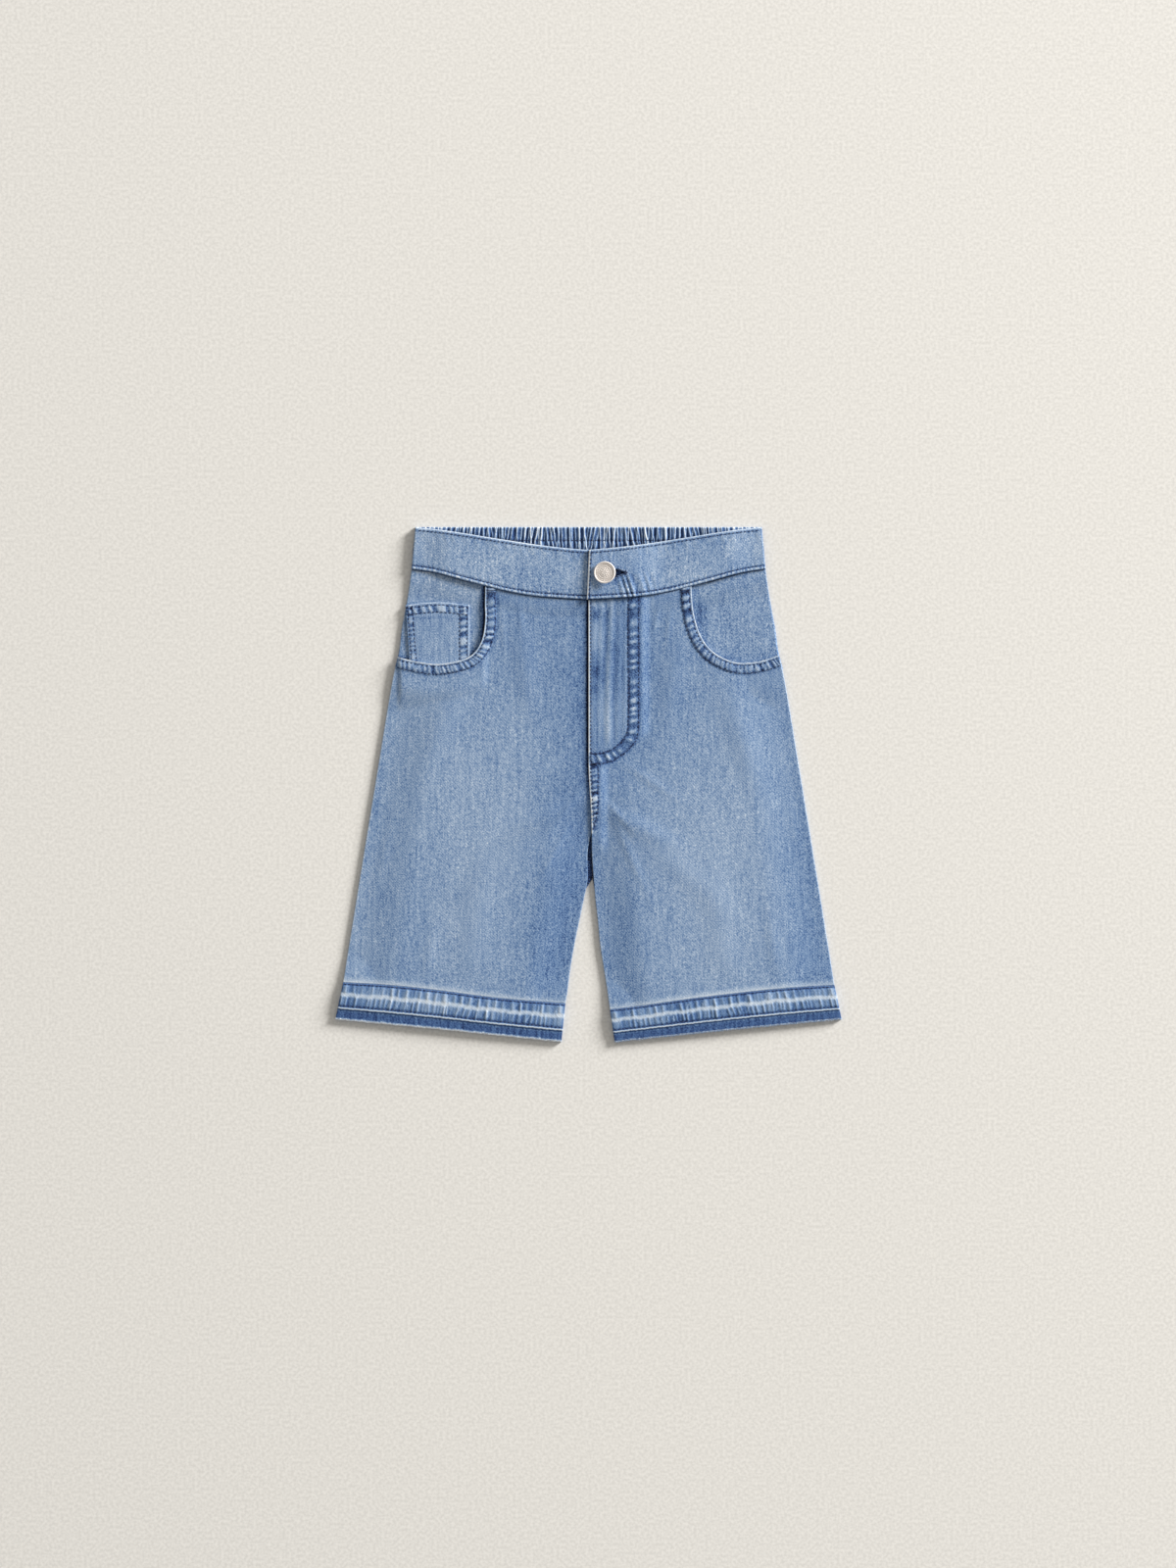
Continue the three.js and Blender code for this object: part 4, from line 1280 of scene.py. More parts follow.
def front_band(leg):
    """Half of the front waistband with its rolled edges and drag lines."""
    overlapping = leg.sign > 0
    inner = OVERLAP_EDGE if overlapping else {"top": UNDERLAP, "bottom": UNDERLAP}
    outer = lambda y: leg.sign * side_x(y)
    outer_top = corner_on(waist_top, outer, guess=leg.sign * 141)
    outer_low = corner_on(waist_seam, outer, guess=leg.sign * 144)
    length = abs(outer_top[0] - inner["top"])
    u = even_stations(length, 1.0)[None, :]
    v = even_stations(BAND_DEPTH, 0.85)[:, None]
    top_x = lerp(outer_top[0], inner["top"], u)
    low_x = lerp(outer_low[0], inner["bottom"], u)
    x = lerp(top_x, low_x, v)
    y = lerp(waist_top(top_x), waist_seam(low_x), v)
    grid = Grid(xy(x, y))
    name = f"waistband_{leg.name}"
    relief = Relief(grid, BASE_TONE[name])
    cloudy = 0.05 * np.sin(x * 0.07 + 2) * np.sin(y * 0.12) - 0.04 * bell(np.abs(x) - 20, 26)
    relief.add(0, cloudy)
    relief.strip(grid.from_top, tone=(0.3, 0.9))
    relief.strip(grid.from_top - BAND_TOP_ROW, tone=(-0.24, 0.7))
    low = grid.from_bottom
    seam = np.clip(1.8 * rungs(x, pitch=3.3, seed=2.0), -1, 1)
    relief.strip(low - 1.5, height=(0.24, 1.0), tone=(0.16 + 0.28 * seam, 0.8))
    # Painted shadow line along the band's lower edge, where it steps down onto the front
    relief.strip(low, tone=(-0.34, 0.6))
    relief.strip(low - BAND_LOW_ROW, height=(-0.3, 0.7), tone=(-0.4, 0.75))
    relief.strip(low - 5.5, height=(0.1 * seam, 2.0), tone=(0.05 * seam, 2.4))
    if not overlapping:
        # Painted shadow on the right half beside the overlapping left half's edge and under the
        # buttonhole, partly unfaded cloth under the overlap
        relief.add(0, -0.42 * smoothstep(x, -1.6, 0.4) - 0.07 * smoothstep(x, -12, 0))
    ripple = rungs(x + 0.3 * y, pitch=9, seed=6.0)
    relief.strip(grid.from_top - 6, height=(0.1 * ripple, 4), tone=(0.03 * ripple, 5))
    if overlapping:
        # Pale worn end of the overlapping half, partly a painted highlight where its rolled edge faces
        # away from the key light
        relief.strip(grid.from_inner, tone=(0.9, 1.0))
        relief.strip(grid.from_inner - 2, tone=(-0.3, 0.6))
        fan = climb((20, 28), x) * (1 - climb((44, 58), x)) * (1 - climb((164, 176), y))
        drag = rungs(x + 0.32 * (y - 152), pitch=5.6, seed=1.0)
        relief.add(0.55 * drag * fan, 0.2 * drag * fan)
        hole = np.hypot(x - BUTTON["x"], y - BUTTON["y"])
        relief.strip(hole - 6, height=(-0.25, 3))
        # Painted shade in a ring round the button and in the buttonhole's slit
        relief.strip(hole - 7, tone=(-0.06, 5))
        relief.strip(np.hypot((x - 27) / 7, (y - 168) / 5), tone=(-0.16, 1))
    under = band_lift(leg, x)
    over = under + BAND_THICK + relief.height - rolled(grid, BAND_ROLL)
    piece = make_wall(name, grid, under, over, relief.tone, material_for("band"))
    if overlapping:
        cut_buttonhole(piece)
    dress_sheet(piece, f"front_{name}", CUTS[name], grid.area())


def keyhole(angle_count=36):
    """Outline of the buttonhole: round at the shank and tapering away from it."""
    half = math.radians(BUTTONHOLE["mouth"])
    turns = np.linspace(half, 2 * math.pi - half, angle_count)
    radius = BUTTONHOLE["radius"]
    ring = xy(radius * np.cos(turns), radius * np.sin(turns))
    gape, neck, narrow, tip = (BUTTONHOLE[key] for key in ("gape", "neck", "narrow", "tip"))
    lower = [(neck, -gape), (narrow, -0.5 * gape), (tip, -0.25)]
    upper = [(tip, 0.25), (narrow, 0.4 * gape), (neck, gape)]
    slit = np.array(lower + upper)
    return np.vstack([ring, slit]) + (BUTTON["x"], BUTTON["y"])


def cut_buttonhole(piece):
    """Cuts the buttonhole through the overlapping half of the waistband."""
    outline = keyhole()
    count = len(outline)
    low, high = [np.column_stack([outline, np.full(count, z)]) for z in BUTTONHOLE_CUT]
    sides = [[i, (i + 1) % count, count + (i + 1) % count, count + i] for i in range(count)]
    caps = [list(range(count))[::-1], list(range(count, 2 * count))]
    cutter = make_mesh("buttonhole_cut", np.vstack([low, high]), sides + caps, material_for("band"))
    cut_away = piece.modifiers.new("buttonhole", "BOOLEAN")
    cut_away.operation = "DIFFERENCE"
    cut_away.solver = "EXACT"
    cut_away.object = cutter
    apply_modifiers(piece)
    bpy.data.objects.remove(cutter)


def select_only(piece):
    bpy.ops.object.select_all(action="DESELECT")
    piece.select_set(True)
    bpy.context.view_layer.objects.active = piece


def apply_modifiers(piece):
    select_only(piece)
    for modifier in list(piece.modifiers):
        bpy.ops.object.modifier_apply(modifier=modifier.name)


def hem_grid(leg, step_across, step_down):
    """Grid of a hem with its torn lower edge, and its shares across and down."""
    u = even_stations(HEM_LENGTH, step_across)[None, :]
    v = even_stations(HEM_DEPTH, step_down)[:, None]
    top_x = lerp(leg.outer_top[0], leg.inner_top[0], u)
    low_x = lerp(leg.outer_low[0], leg.inner_low[0], u)
    x = lerp(top_x, low_x, v)
    y = lerp(hem_seam(leg, top_x), hem_edge(low_x) - RAW_OUTSET - 0.35 * torn(leg, low_x), v)
    return Grid(xy(x, y)), u, v


def torn(leg, x):
    """How unevenly the raw edge is torn, from about -1 to 1."""
    return 0.45 * np.sin(1.9 * x + leg.sign) + 0.35 * np.sin(0.83 * x) + 0.3 * np.sin(0.31 * x)


# Threads pulled across a hem: how many, from where and how far apart, with the middle and spread
# of their shift along the hem, their slant, the place of their middle down it and their reach
PULLS = {
    "count": 30, "first": 22, "pitch": 6.4,
    "shift": (0, 3), "slant": (5, 7), "middle": (10, 5), "reach": (5, 2),
}


def pull_lines(x, down, seed):
    """Thin pale lines drawn aslant across a hem where its threads pull."""

    def drawn(key, number):
        middle, spread = PULLS[key]
        return middle + spread * float(scatter(number + 7 * seed))

    lines = np.zeros(x.shape)
    for number in range(PULLS["count"]):
        start = PULLS["first"] + PULLS["pitch"] * number + drawn("shift", number)
        slant = drawn("slant", number + 40)
        middle = drawn("middle", number + 80)
        reach = drawn("reach", number + 120)
        bow = 1.6 * np.sin(0.25 * down + number)
        away = np.abs(x) - start - slant * (down - 10) / 10 * -seed - bow
        lines = np.maximum(lines, bell(away, 0.6) * bell(down - middle, reach))
    return lines * (1 - smoothstep(down, 17, 18)) * smoothstep(down, 1.5, 3)


def front_hem(leg):
    """Let-down hem: stitched top, worn old fold line, lower ridge and raw dark strip."""
    grid, u, v = hem_grid(leg, 0.75, 0.6)
    x = grid.x
    down = v * HEM_DEPTH + 0 * u
    loose = np.sin(np.pi * u) * np.sin(np.pi * v)
    lean = (PUCKER_LEAN * np.sin(u * 43 + leg.sign) + 1.6 * np.sin(u * 17) * (v - 0.4)) * loose
    wave = pleats(HEM_PUCKERS, np.clip(u - lean / HEM_LENGTH, 0, 1))
    swept = 3.4 * (v - 0.33) * (np.sin(0.11 * x) + 0.6) * loose
    fine = pleats(2 * HEM_PUCKERS - 5, np.clip(u + (0.9 * lean + swept) / HEM_LENGTH, 0, 1))
    worn = bell(down - OLD_FOLD, 3)
    wavy = down + worn * (0.5 * np.sin(x * 0.21 + leg.sign) + 0.35 * np.sin(x * 0.71))
    section = {name: np.interp(wavy, HEM_SECTION["down"], HEM_SECTION[name])
               for name in ("height", "pucker", "tone")}
    below = smoothstep(down, 9, 12)
    ridges = np.clip(wave, 0, 1.06) ** 3.4
    small = np.clip(fine, 0, 1.06) ** 4
    mixed = lerp(0.75 * ridges + 0.3 * small, 0.35 * ridges + 0.75 * small, below)
    height = section["height"] + PUCKER_HEIGHT * section["pucker"] * (0.75 * mixed)
    patch = 0.06 * np.sin(x * 0.13 + leg.sign) + 0.05 * np.sin(x * 0.041 + 1)
    contrast = PUCKER_CONTRAST[leg.name]
    tone = section["tone"] + section["pucker"] * (contrast * mixed - 0.03 + patch)
    drawn = pull_lines(x, down, leg.sign)
    height = height + 0.3 * drawn
    tone = np.maximum(tone, 0.78 * drawn)
    seam_wave = rungs(x, pitch=3.2, seed=1.0 + leg.sign)
    lip = down - RAW_STRIP
    tone += 0.16 * seam_wave * bell(lip, 0.55) + 0.16 * bell(lip, 0.5)
    tone += 0.05 * rungs(x, pitch=5.1, seed=4.0) * smoothstep(down, 22, 23)
    ragged = HEM_DEPTH - down - RAW_OUTSET - 0.45 * torn(leg, 1.3 * x)
    fuzz, reach = RAW_FUZZ[leg.name]
    tone += fuzz * (1 - smoothstep(ragged, 0, reach)) * (down > 26)
    under = hem_deck(u) + 0 * v
    over = under + height - rolled(grid, HEM_ROLL)
    tone = np.clip(tone, 0, 1)
    piece = make_wall(f"front_cuff_{leg.name}", grid, under, over, tone, material_for("hem"))
    node, rests_on = f"hem_front_{leg.name}", [f"back_cuff_{leg.name}"]
    dress_sheet(piece, node, CUTS["hem"], grid.area())


def back_hem(leg):
    """Plain back hem, flat on the surface."""
    grid, u, v = hem_grid(leg, 1.6, 1.2)
    down = v * HEM_DEPTH + 0 * u
    tone = np.interp(down, HEM_SECTION["down"], HEM_SECTION["tone"])
    over = HEM_THICK - rolled(grid, HEM_ROLL)
    piece = make_wall(f"back_cuff_{leg.name}", grid, 0, over, tone, material_for("hem"))
    dress_sheet(piece, f"hem_back_{leg.name}", CUTS["hem"], grid.area())


def add_tube(points, faces, rings, sides):
    """Closed tube through rings, each a centre, a direction, a height and a radius."""
    base = len(points)
    for centre, way, z, radius in rings:
        for side in range(sides):
            turn = 2 * math.pi * side / sides
            across = radius * math.cos(turn)
            x, y = centre[0] - way[1] * across, centre[1] + way[0] * across
            points.append((x, y, z + radius * math.sin(turn)))
    for ring in range(len(rings) - 1):
        for side in range(sides):
            a = base + ring * sides + side
            b = base + ring * sides + (side + 1) % sides
            faces.append([a, b, b + sides, a + sides])
    last = base + (len(rings) - 1) * sides
    faces.append([base + side for side in range(sides)][::-1])
    faces.append([last + side for side in range(sides)])


class Needle:
    """Sews rows of small raised stitches onto finished pieces and joins them in one mesh."""

    # Rings of a stitch: share of its length from the middle, share of its radius, and lift
    RINGS = ((-0.5, 0.35, -0.3), (-0.28, 1.0, 0.1), (0.28, 1.0, 0.1), (0.5, 0.35, -0.3))
    SIDES = 5
    # Height in metres from which a stitch is dropped onto the cloth
    DROP = 0.05

    def __init__(self, settings):
        self.settings = settings
        self.points, self.faces = [], []

    def trees(self, names):
        return [BVHTree.FromObject(bpy.data.objects[name], bpy.context.evaluated_depsgraph_get())
                for name in names]

    def height(self, trees, x, y):
        start = Vector((x * MM, y * MM, self.DROP))
        hits = [tree.ray_cast(start, Vector((0, 0, -1)))[0] for tree in trees]
        return max((hit.z / MM for hit in hits if hit), default=None)

    def sew(self, path, names, pitch=None, fill=0.72, radius=None):
        trees = self.trees(names)
        pitch = pitch or self.settings.pitch / MM
        radius = radius or self.settings.thread_radius / MM
        count = max(int(path.length / pitch), 1)
        pitch = path.length / count
        for number in range(count):
            middle = (number + 0.5) * pitch
            length = pitch * fill * (1 + 0.08 * float(scatter(number)))
            self.stitch(path, trees, middle, length, radius)

    def stitch(self, path, trees, middle, length, radius):
        rings = []
        for along, swell, lift in self.RINGS:
            place = middle + along * length
            centre, way = path.at(place), path.direction(place)
            z = self.height(trees, *centre)
            if z is None:
                return
            rings.append((centre, way, z + lift * radius * 2, radius * swell))
        add_tube(self.points, self.faces, rings, self.SIDES)

    def tie_off(self, name):
        dress(make_mesh(name, self.points, self.faces, material_for("thread")))


def waist_line(y_at, offset, start, end):
    """Row at a distance above or below an edge of the waistband."""
    x = np.linspace(start, end, 160)
    return Path(xy(x, y_at(x) + offset))


# Dense stitches of the bar tacks and round the buttonhole
BAR_TACK = {"pitch": 1.1, "fill": 0.95, "radius": 0.32}
HOLE_STITCH = {"pitch": 0.8, "fill": 1.1, "radius": 0.34}
HOLE_BAR = {"pitch": 0.8, "fill": 1.0, "radius": 0.4}
HOLE_RIM = 1.14

# Bar tacks: drops below the pocket mouth's start and their span, and heights at the fly's foot
MOUTH_TACKS = (3.5, 5.2)
MOUTH_TACK_SPAN = (1.4, 9.4)
FLY_TACKS = (25, 17.2)


# Where rows of stitching start and end
MOUTH_ROW_INSETS = (1.5, 1.0)
CENTRE_ROW_ENDS = (149.5, -33)
FLY_TACK_SPAN = (1.6, 8.4)
BAND_ROW_ENDS = {"waistband_right": (-142, -0.9), "waistband_left": (2.2, 142)}
BAND_LOW_STRETCH = 1.01
BAND_END_DROP = 2.2
HOLE_BAR_GAP = 1
HOLE_BAR_HALF = 2.2
HEM_ROW_INSET = 0.8
GATHER_ROW_HALF = 76


def sew_front(settings):
    """Topstitching of the pockets, fly and centre seam."""
    needle = Needle(settings)
    for leg in LEGS:
        cloth = [f"front_leg_{leg.name}"]
        for offset in MOUTH_ROWS:
            row = leg.mouth.moved(-leg.sign * offset)
            needle.sew(row.part(MOUTH_ROW_INSETS[0], row.length - MOUTH_ROW_INSETS[1]), cloth)
        start = leg.mouth.points[0]
        for drop in MOUTH_TACKS:
            ends = [(start[0] - leg.sign * offset, start[1] - drop) for offset in MOUTH_TACK_SPAN]
            needle.sew(Path(ends), cloth, **BAR_TACK)
    cloth = ["front_leg_left"]
    centre_y = np.linspace(*CENTRE_ROW_ENDS, 120)
    centre = Path(xy(centre_front_x(LEFT, centre_y) + CENTRE_ROW, centre_y))
    for row in (centre, FLY_INNER, FLY_OUTER, RISE_OUTER):
        needle.sew(row, cloth)
    for y in FLY_TACKS:
        needle.sew(Path([(FLY_TACK_SPAN[0], y), (FLY_TACK_SPAN[1], y + 0.3)]), cloth, **BAR_TACK)
    needle.tie_off("stitching_front")


def sew_pocket(settings):
    """Topstitching of the coin pocket."""
    needle = Needle(settings)
    top, left, right = coin_edges()
    for path, turn, offsets in ((top, -1, COIN_ROWS), (right, -1, COIN_ROWS), (left, 1, COIN_SIDE_ROWS)):
        for offset in offsets:
            needle.sew(path.moved(turn * offset), ["coin_pouch"])
    needle.tie_off("stitching_coin_pocket")


def sew_waistband(settings):
    """Topstitching round the front waistband."""
    needle = Needle(settings)
    for name, (start, end) in BAND_ROW_ENDS.items():
        needle.sew(waist_line(waist_top, -BAND_TOP_ROW, start, end), [name])
        needle.sew(waist_line(waist_seam, BAND_LOW_ROW, start * BAND_LOW_STRETCH, end), [name])
    end_row = Path([
        (OVERLAP_EDGE["top"] + CENTRE_ROW, waist_top(0) - BAND_END_DROP),
        (OVERLAP_EDGE["bottom"] + CENTRE_ROW, waist_seam(0) + BAND_LOW_ROW),
    ])
    needle.sew(end_row, ["waistband_left"])
    outline = keyhole(48)
    middle = np.array([BUTTON["x"], BUTTON["y"]])
    ring = Path(middle + (outline - middle) * HOLE_RIM)
    needle.sew(ring, ["waistband_left"], **HOLE_STITCH)
    tip = BUTTON["x"] + BUTTONHOLE["tip"] + HOLE_BAR_GAP
    bar = Path([(tip, BUTTON["y"] - HOLE_BAR_HALF), (tip, BUTTON["y"] + HOLE_BAR_HALF)])
    needle.sew(bar, ["waistband_left"], **HOLE_BAR)
    needle.tie_off("stitching_waistband")


def sew_hems(settings):
    """Two rows of stitching along each front hem, and one through the gathers."""
    needle = Needle(settings)
    for leg in LEGS:
        _, u, _ = hem_grid(leg, 4, 4)
        top_x = lerp(leg.outer_top[0], leg.inner_top[0], u.ravel())
        low_x = lerp(leg.outer_low[0], leg.inner_low[0], u.ravel())
        top = xy(top_x, hem_seam(leg, top_x))
        low = xy(low_x, hem_edge(low_x))
        for down in HEM_ROWS:
            row = Path(lerp(top, low, down / HEM_DEPTH))
            needle.sew(row.part(HEM_ROW_INSET, row.length - HEM_ROW_INSET), [f"front_cuff_{leg.name}"])
    row_y = WAIST_Y - GATHER_ROW
    needle.sew(Path([(-GATHER_ROW_HALF, row_y), (GATHER_ROW_HALF, row_y)]), ["back_band"])
    needle.tie_off("stitching_hems")


# Cotton ends: least and further length, root above the raw edge and lift, and the spread of turn
FRAY = {"length": (0.7, 1.2), "root": (0.3, 0.8), "lift": (1.0, 0.2), "turn": 1.4}
STRAND = {"radius": 0.18, "steps": 3, "sides": 3, "droop": 0.12, "thinning": 0.5}


def fray(settings):
    """Short cotton ends along the raw edges of the legs."""

    def uneven(key, seed, power=1):
        least, further = FRAY[key]
        return least + further * abs(float(scatter(seed))) ** power

    points, faces = [], []
    for leg in LEGS:
        low_x = np.linspace(leg.outer_low[0], leg.inner_low[0], 400)
        edge = Path(xy(low_x, hem_edge(low_x)))
        for number in range(settings.fray_count):
            seed = leg.sign * 500 + number
            place = edge.length * (number + 0.5 + 0.45 * float(scatter(seed))) / settings.fray_count
            share = place / edge.length
            length = uneven("length", seed + 0.37, 2)
            angle = -math.pi / 2 + FRAY["turn"] * float(scatter(seed + 0.71))
            base = edge.at(place) + (0, uneven("root", seed + 0.91))
            z = float(hem_deck(share)) + uneven("lift", seed + 0.13)
            add_strand(points, faces, base, angle, length, z, float(scatter(seed + 0.53)))
    dress(make_mesh("raw_edge_fray", points, faces, material_for("fray")))


def add_strand(points, faces, base, angle, length, z, curl):
    """One bent cotton end, which thins and sinks towards its tip."""
    steps = STRAND["steps"]
    place = np.array(base, float)
    rings = []
    for step in range(steps + 1):
        turn = angle + curl * step / steps
        way = np.array([math.cos(turn), math.sin(turn)])
        radius = STRAND["radius"] * (1 - STRAND["thinning"] * step / steps)
        rings.append((place, way, z - STRAND["droop"] * step, radius))
        place = place + way * length / steps
    add_tube(points, faces, rings, STRAND["sides"])


BUTTON_PROFILE = table(
    "radius height",
    (0, 0),
    (3.0, 0),
    (3.0, 3.6),
    (8.2, 3.7),
    (8.7, 3.9),
    (8.95, 4.4),
    (9.0, 4.9),
    (8.9, 5.3),
    (8.6, 5.55),
    (8.2, 5.6),
    (7.9, 5.45),
    (7.7, 5.1),
    (7.5, 5.02),
    (5.6, 4.98),
    (5.4, 5.15),
    (5.1, 5.3),
    (4.8, 5.2),
    (4.6, 5.05),
    (3.0, 5.3),
    (1.4, 5.46),
    (0, 5.5),
)


# Rings of plain beads on the button's face, and how its round form is spun
BEADS = table("ring count height", (6.55, 30, 5.05), (3.5, 12, 5.28), (2.0, 7, 5.42))
BEAD = {"radius": 0.5, "flattened": 0.6}
BUTTON_STEPS = 64


def metal_material(settings):
    """Pale rose-silver metal with a fine mottle."""
    finish = Finish("button_rose_silver")
    field = finish.noise(scale=900, detail=3.0)
    metal = settings.metal_colour
    shades = finish.ramp(field, (0.3, scaled(metal, 0.99)), (0.6, scaled(metal, 1)))
    rough = finish.math("MULTIPLY_ADD", field, 0.2, 0.26)
    normal = finish.bump(field, strength=0.3, distance=0.1)
    return finish.surface({
        "Base Color": shades, "Roughness": rough, "Normal": normal, "Metallic": 0.05,
    })


def spin_profile(name, profile, steps, material):
    """Round piece spun from its profile in edit mode."""
    radii, heights = profile["radius"], profile["height"]
    points = np.stack([radii, 0 * radii, heights], axis=1) * MM
    mesh = bpy.data.meshes.new(name)
    edges = [(i, i + 1) for i in range(len(points) - 1)]
    mesh.from_pydata(points.tolist(), edges, [])
    piece = bpy.data.objects.new(name, mesh)
    bpy.context.collection.objects.link(piece)
    select_only(piece)
    bpy.ops.object.mode_set(mode="EDIT")
    bpy.ops.mesh.select_all(action="SELECT")
    bpy.ops.mesh.spin(steps=steps, angle=2 * math.pi, center=(0, 0, 0), axis=(0, 0, 1))
    bpy.ops.mesh.select_all(action="SELECT")
    bpy.ops.mesh.remove_doubles(threshold=1e-6)
    bpy.ops.mesh.normals_make_consistent(inside=False)
    bpy.ops.object.mode_set(mode="OBJECT")
    bpy.ops.object.shade_smooth_by_angle(angle=math.radians(40))
    mesh.materials.append(material)
    return piece


def add_bead(place, material):
    """Flattened bead at a place in millimetres."""
    bpy.ops.object.select_all(action="DESELECT")
    place = [value * MM for value in place]
    bpy.ops.mesh.primitive_ico_sphere_add(subdivisions=1, radius=BEAD["radius"] * MM, location=place)
    bead = bpy.context.object
    bead.scale.z = BEAD["flattened"]
    bpy.ops.object.transform_apply(location=True, rotation=True, scale=True)
    bpy.ops.object.shade_smooth()
    bead.data.materials.append(material)
    return bead


def button(settings):
    """Tack button with three rings of plain beads, leaning on its shank."""
    material = metal_material(settings)
    piece = spin_profile("tack_button", BUTTON_PROFILE, BUTTON_STEPS, material)
    beads = []
    for ring, count, height in zip(*BEADS.values()):
        for number in range(int(count)):
            turn = 2 * math.pi * number / count
            beads.append(add_bead((ring * math.cos(turn), ring * math.sin(turn), height), material))
    select_only(piece)
    for bead in beads:
        bead.select_set(True)
    bpy.ops.object.join()
    lean = math.radians(BUTTON["lean"])
    underlap_top = float(band_deck(BUTTON["x"])) + BAND_THICK
    piece.rotation_euler = (0, -lean, 0)
    piece.location = Vector((
        BUTTON["x"] + BUTTON["shank"] * math.sin(lean),
        BUTTON["y"],
        underlap_top + SEAM_GAP + BUTTON["shank_radius"] * math.sin(lean),
    )) * MM
    select_only(piece)
    bpy.ops.object.transform_apply(location=True, rotation=True, scale=True)
    dress(piece)
    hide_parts("fly_button")


class ShortsCloth(bpy.types.PropertyGroup):
    """Colour and grain of the denim, its thread and its button."""

    grain: bpy.props.FloatProperty(
        name="Grain", description="Strength of the sandy grain", default=1.0, min=0, max=3)
    twill: bpy.props.FloatProperty(
        name="Twill", description="Closeness of the twill's diagonal", default=260, min=1)
    thread_colour: bpy.props.FloatVectorProperty(
        name="Thread", description="Colour of the topstitching", subtype="COLOR",
        default=linear(34, 46, 82)[:3], min=0, max=1)
    metal_colour: bpy.props.FloatVectorProperty(
        name="Button", description="Colour of the button's metal", subtype="COLOR",
        default=linear(255, 245, 237)[:3], min=0, max=1)


class ShortsSewing(bpy.types.PropertyGroup):
    """Sizes of the stitches and the fray."""

    pitch: bpy.props.FloatProperty(
        name="Stitch pitch", description="Length from one stitch to the next",
        default=0.0032, unit="LENGTH")
    thread_radius: bpy.props.FloatProperty(
        name="Thread radius", description="Half the thickness of the thread",
        default=0.00036, unit="LENGTH")
    fray_count: bpy.props.IntProperty(
        name="Fray", description="Loose ends along each leg's raw edge", default=900, min=0)


class ShortsStage(bpy.types.PropertyGroup):
    """Floor, lights and camera."""

    floor_colour: bpy.props.FloatVectorProperty(
        name="Floor", description="Colour of the floor", subtype="COLOR",
        default=linear(240, 236, 229)[:3], min=0, max=1)
    key_power: bpy.props.FloatProperty(
        name="Key light", description="Power of the key light", default=3560, min=0, unit="POWER")
    fill_power: bpy.props.FloatProperty(
        name="Fill light", description="Strength of the surrounding light", default=0.385, min=0)
    lens: bpy.props.FloatProperty(
        name="Lens", description="Focal length of the camera", default=100, min=10)
    frame_height: bpy.props.FloatProperty(
        name="Frame height", description="Height of the floor that the photograph shows",
        default=1.28, unit="LENGTH")


class SHORTS_OT_backs(bpy.types.Operator):
    """Lay out the back legs and back hems"""

    bl_idname = "shorts.backs"
    bl_label = "Back legs"

    def execute(self, context):
        for leg in LEGS:
            back_panel(leg)
            back_hem(leg)
        return {"FINISHED"}


class SHORTS_OT_back_band(bpy.types.Operator):
    """Gather the back waistband"""

    bl_idname = "shorts.back_band"
    bl_label = "Back waistband"

    def execute(self, context):
        back_waistband()
        return {"FINISHED"}


class SHORTS_OT_pockets(bpy.types.Operator):
    """Lay the pocket facings and the coin pocket"""

    bl_idname = "shorts.pockets"
    bl_label = "Pockets"

    def execute(self, context):
        for leg in LEGS:
            facing(leg)
        coin_pocket()
        return {"FINISHED"}


class SHORTS_OT_fronts(bpy.types.Operator):
    """Lay the front legs with their worn seams"""

    bl_idname = "shorts.fronts"
    bl_label = "Front legs"

    def execute(self, context):
        for leg in LEGS:
            front_panel(leg)
        return {"FINISHED"}


class SHORTS_OT_hems(bpy.types.Operator):
    """Add the puckered front hems with raw edges"""

    bl_idname = "shorts.hems"
    bl_label = "Front hems"

    def execute(self, context):
        for leg in LEGS:
            front_hem(leg)
        return {"FINISHED"}


class SHORTS_OT_waistband(bpy.types.Operator):
    """Add both halves of the front waistband"""

    bl_idname = "shorts.waistband"
    bl_label = "Front waistband"

    def execute(self, context):
        for leg in LEGS:
            front_band(leg)
        return {"FINISHED"}


class SHORTS_OT_button(bpy.types.Operator):
    """Spin the tack button"""

    bl_idname = "shorts.button"
    bl_label = "Button"

    def execute(self, context):
        button(context.scene.shorts_cloth)
        return {"FINISHED"}


class SHORTS_OT_stitching(bpy.types.Operator):
    """Sew all rows of topstitching"""

    bl_idname = "shorts.stitching"
    bl_label = "Stitching"

    def execute(self, context):
        settings = context.scene.shorts_sewing
        for sew in (sew_front, sew_pocket, sew_waistband, sew_hems):
            sew(settings)
        return {"FINISHED"}


class SHORTS_OT_fray(bpy.types.Operator):
    """Fray the raw edges of the legs"""

    bl_idname = "shorts.fray"
    bl_label = "Fray"

    def execute(self, context):
        fray(context.scene.shorts_sewing)
        return {"FINISHED"}


# Where the key light stands and how wide it is, in metres, and the colour of the light around it
KEY_PLACE = (10.7, 7.1, 4.1)
KEY_SIZE = 4.8
FILL_COLOUR = (1, 0.99, 0.96, 1)

# Width of the floor in metres, its drop below the shorts, and the middle of the camera's view
FLOOR_SIZE = 20
FLOOR_DROP = 0.2
VIEW_MIDDLE = (-0.4, 0.6)


def floor_material(colour):
    """Matt floor with a faint sandy mottle."""
    finish = Finish("pale_floor")
    field = finish.noise(scale=420, detail=3.0)
    shades = finish.ramp(field, (0.35, scaled(colour, 0.86)), (0.65, scaled(colour, 1)))
    return finish.surface({"Base Color": shades, "Roughness": 0.95, "Specular IOR Level": 0.1})


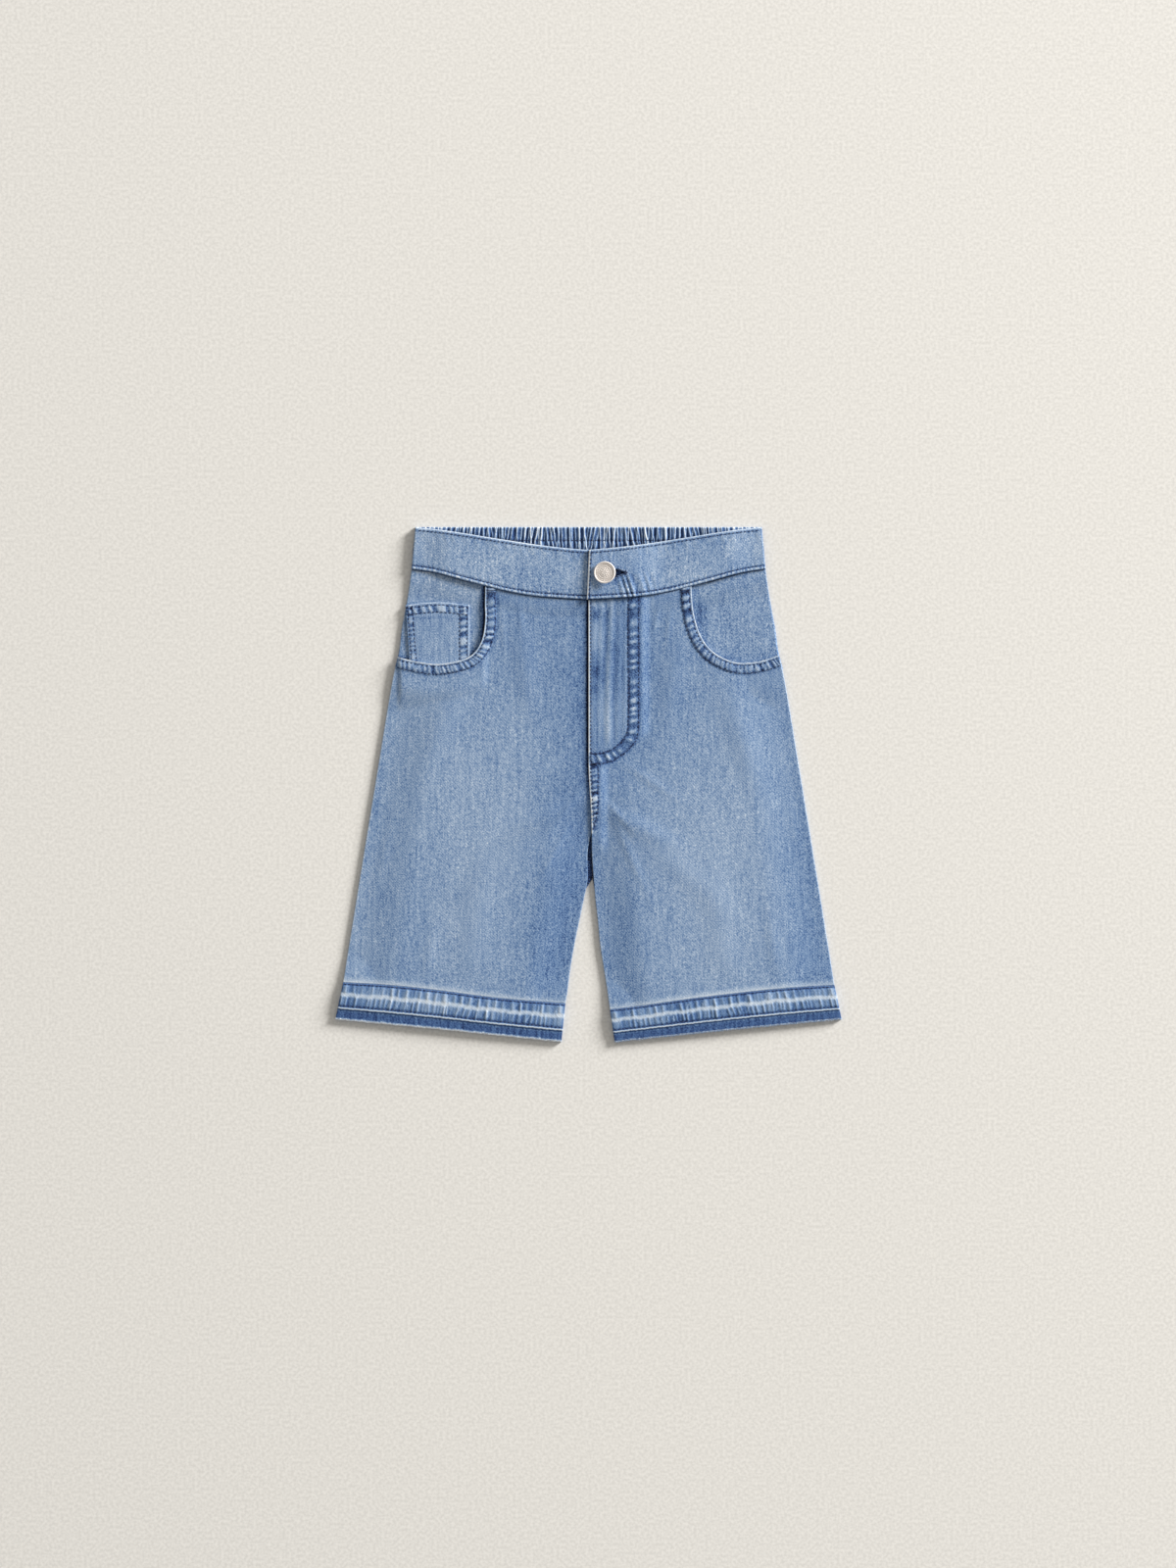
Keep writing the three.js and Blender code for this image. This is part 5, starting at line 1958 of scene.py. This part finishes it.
class SHORTS_OT_stage(bpy.types.Operator):
    """Set up the floor, the lights and the camera"""

    bl_idname = "shorts.stage"
    bl_label = "Stage"

    def execute(self, context):
        settings = context.scene.shorts_stage
        bpy.ops.object.select_all(action="DESELECT")
        bpy.ops.mesh.primitive_plane_add(size=FLOOR_SIZE, location=(0, 0, -FLOOR_DROP * MM))
        floor = context.object
        floor.name = "floor"
        floor.data.materials.append(floor_material(tuple(settings.floor_colour)))
        add_light("key_light", KEY_PLACE, KEY_SIZE, settings.key_power)
        context.scene.view_settings.view_transform = "Standard"
        world = bpy.data.worlds.new("studio")
        context.scene.world = world
        world.use_nodes = True
        background = world.node_tree.nodes["Background"]
        background.inputs["Color"].default_value = FILL_COLOUR
        background.inputs["Strength"].default_value = settings.fill_power
        add_camera(context, settings)
        return {"FINISHED"}


def add_light(name, place, size, power):
    """Round area light that faces the shorts."""
    data = bpy.data.lights.new(name, "AREA")
    data.shape = "DISK"
    data.size = size
    data.energy = power
    lamp = bpy.data.objects.new(name, data)
    lamp.location = place
    lamp.rotation_euler = (-Vector(place)).to_track_quat("-Z", "Y").to_euler()
    bpy.context.collection.objects.link(lamp)


def add_camera(context, settings):
    """Camera straight above the middle of the photograph's frame."""
    data = bpy.data.cameras.new("camera")
    data.lens = settings.lens
    data.clip_end = 50
    camera = bpy.data.objects.new("camera", data)
    distance = settings.frame_height * data.lens / data.sensor_width
    camera.location = (VIEW_MIDDLE[0] * MM, VIEW_MIDDLE[1] * MM, distance)
    context.collection.objects.link(camera)
    context.scene.camera = camera


class SHORTS_PT_panel(bpy.types.Panel):
    """Sidebar panel with the settings and one button for each operator"""

    bl_label = "Denim shorts"
    bl_idname = "SHORTS_PT_panel"
    bl_space_type = "VIEW_3D"
    bl_region_type = "UI"
    bl_category = "Shorts"

    def draw(self, context):
        layout = self.layout
        for group in ("shorts_cloth", "shorts_sewing", "shorts_stage"):
            settings = getattr(context.scene, group)
            box = layout.box()
            for name in settings.bl_rna.properties.keys():
                if name not in ("rna_type", "name"):
                    box.prop(settings, name)
        for operator in OPERATORS:
            layout.operator(operator.bl_idname)


OPERATORS = (
    SHORTS_OT_backs,
    SHORTS_OT_back_band,
    SHORTS_OT_pockets,
    SHORTS_OT_fronts,
    SHORTS_OT_hems,
    SHORTS_OT_waistband,
    SHORTS_OT_button,
    SHORTS_OT_stitching,
    SHORTS_OT_fray,
    SHORTS_OT_stage,
)
GROUPS = {"shorts_cloth": ShortsCloth, "shorts_sewing": ShortsSewing, "shorts_stage": ShortsStage}


def register():
    for cls in (*GROUPS.values(), *OPERATORS, SHORTS_PT_panel):
        bpy.utils.register_class(cls)
    for name, group in GROUPS.items():
        setattr(bpy.types.Scene, name, bpy.props.PointerProperty(type=group))


def unregister():
    for name in GROUPS:
        delattr(bpy.types.Scene, name)
    for cls in reversed((*GROUPS.values(), *OPERATORS, SHORTS_PT_panel)):
        bpy.utils.unregister_class(cls)


def main():
    register()
    for operator in OPERATORS:
        group, name = operator.bl_idname.split(".")
        getattr(getattr(bpy.ops, group), name)()


if __name__ == "__main__":
    main()
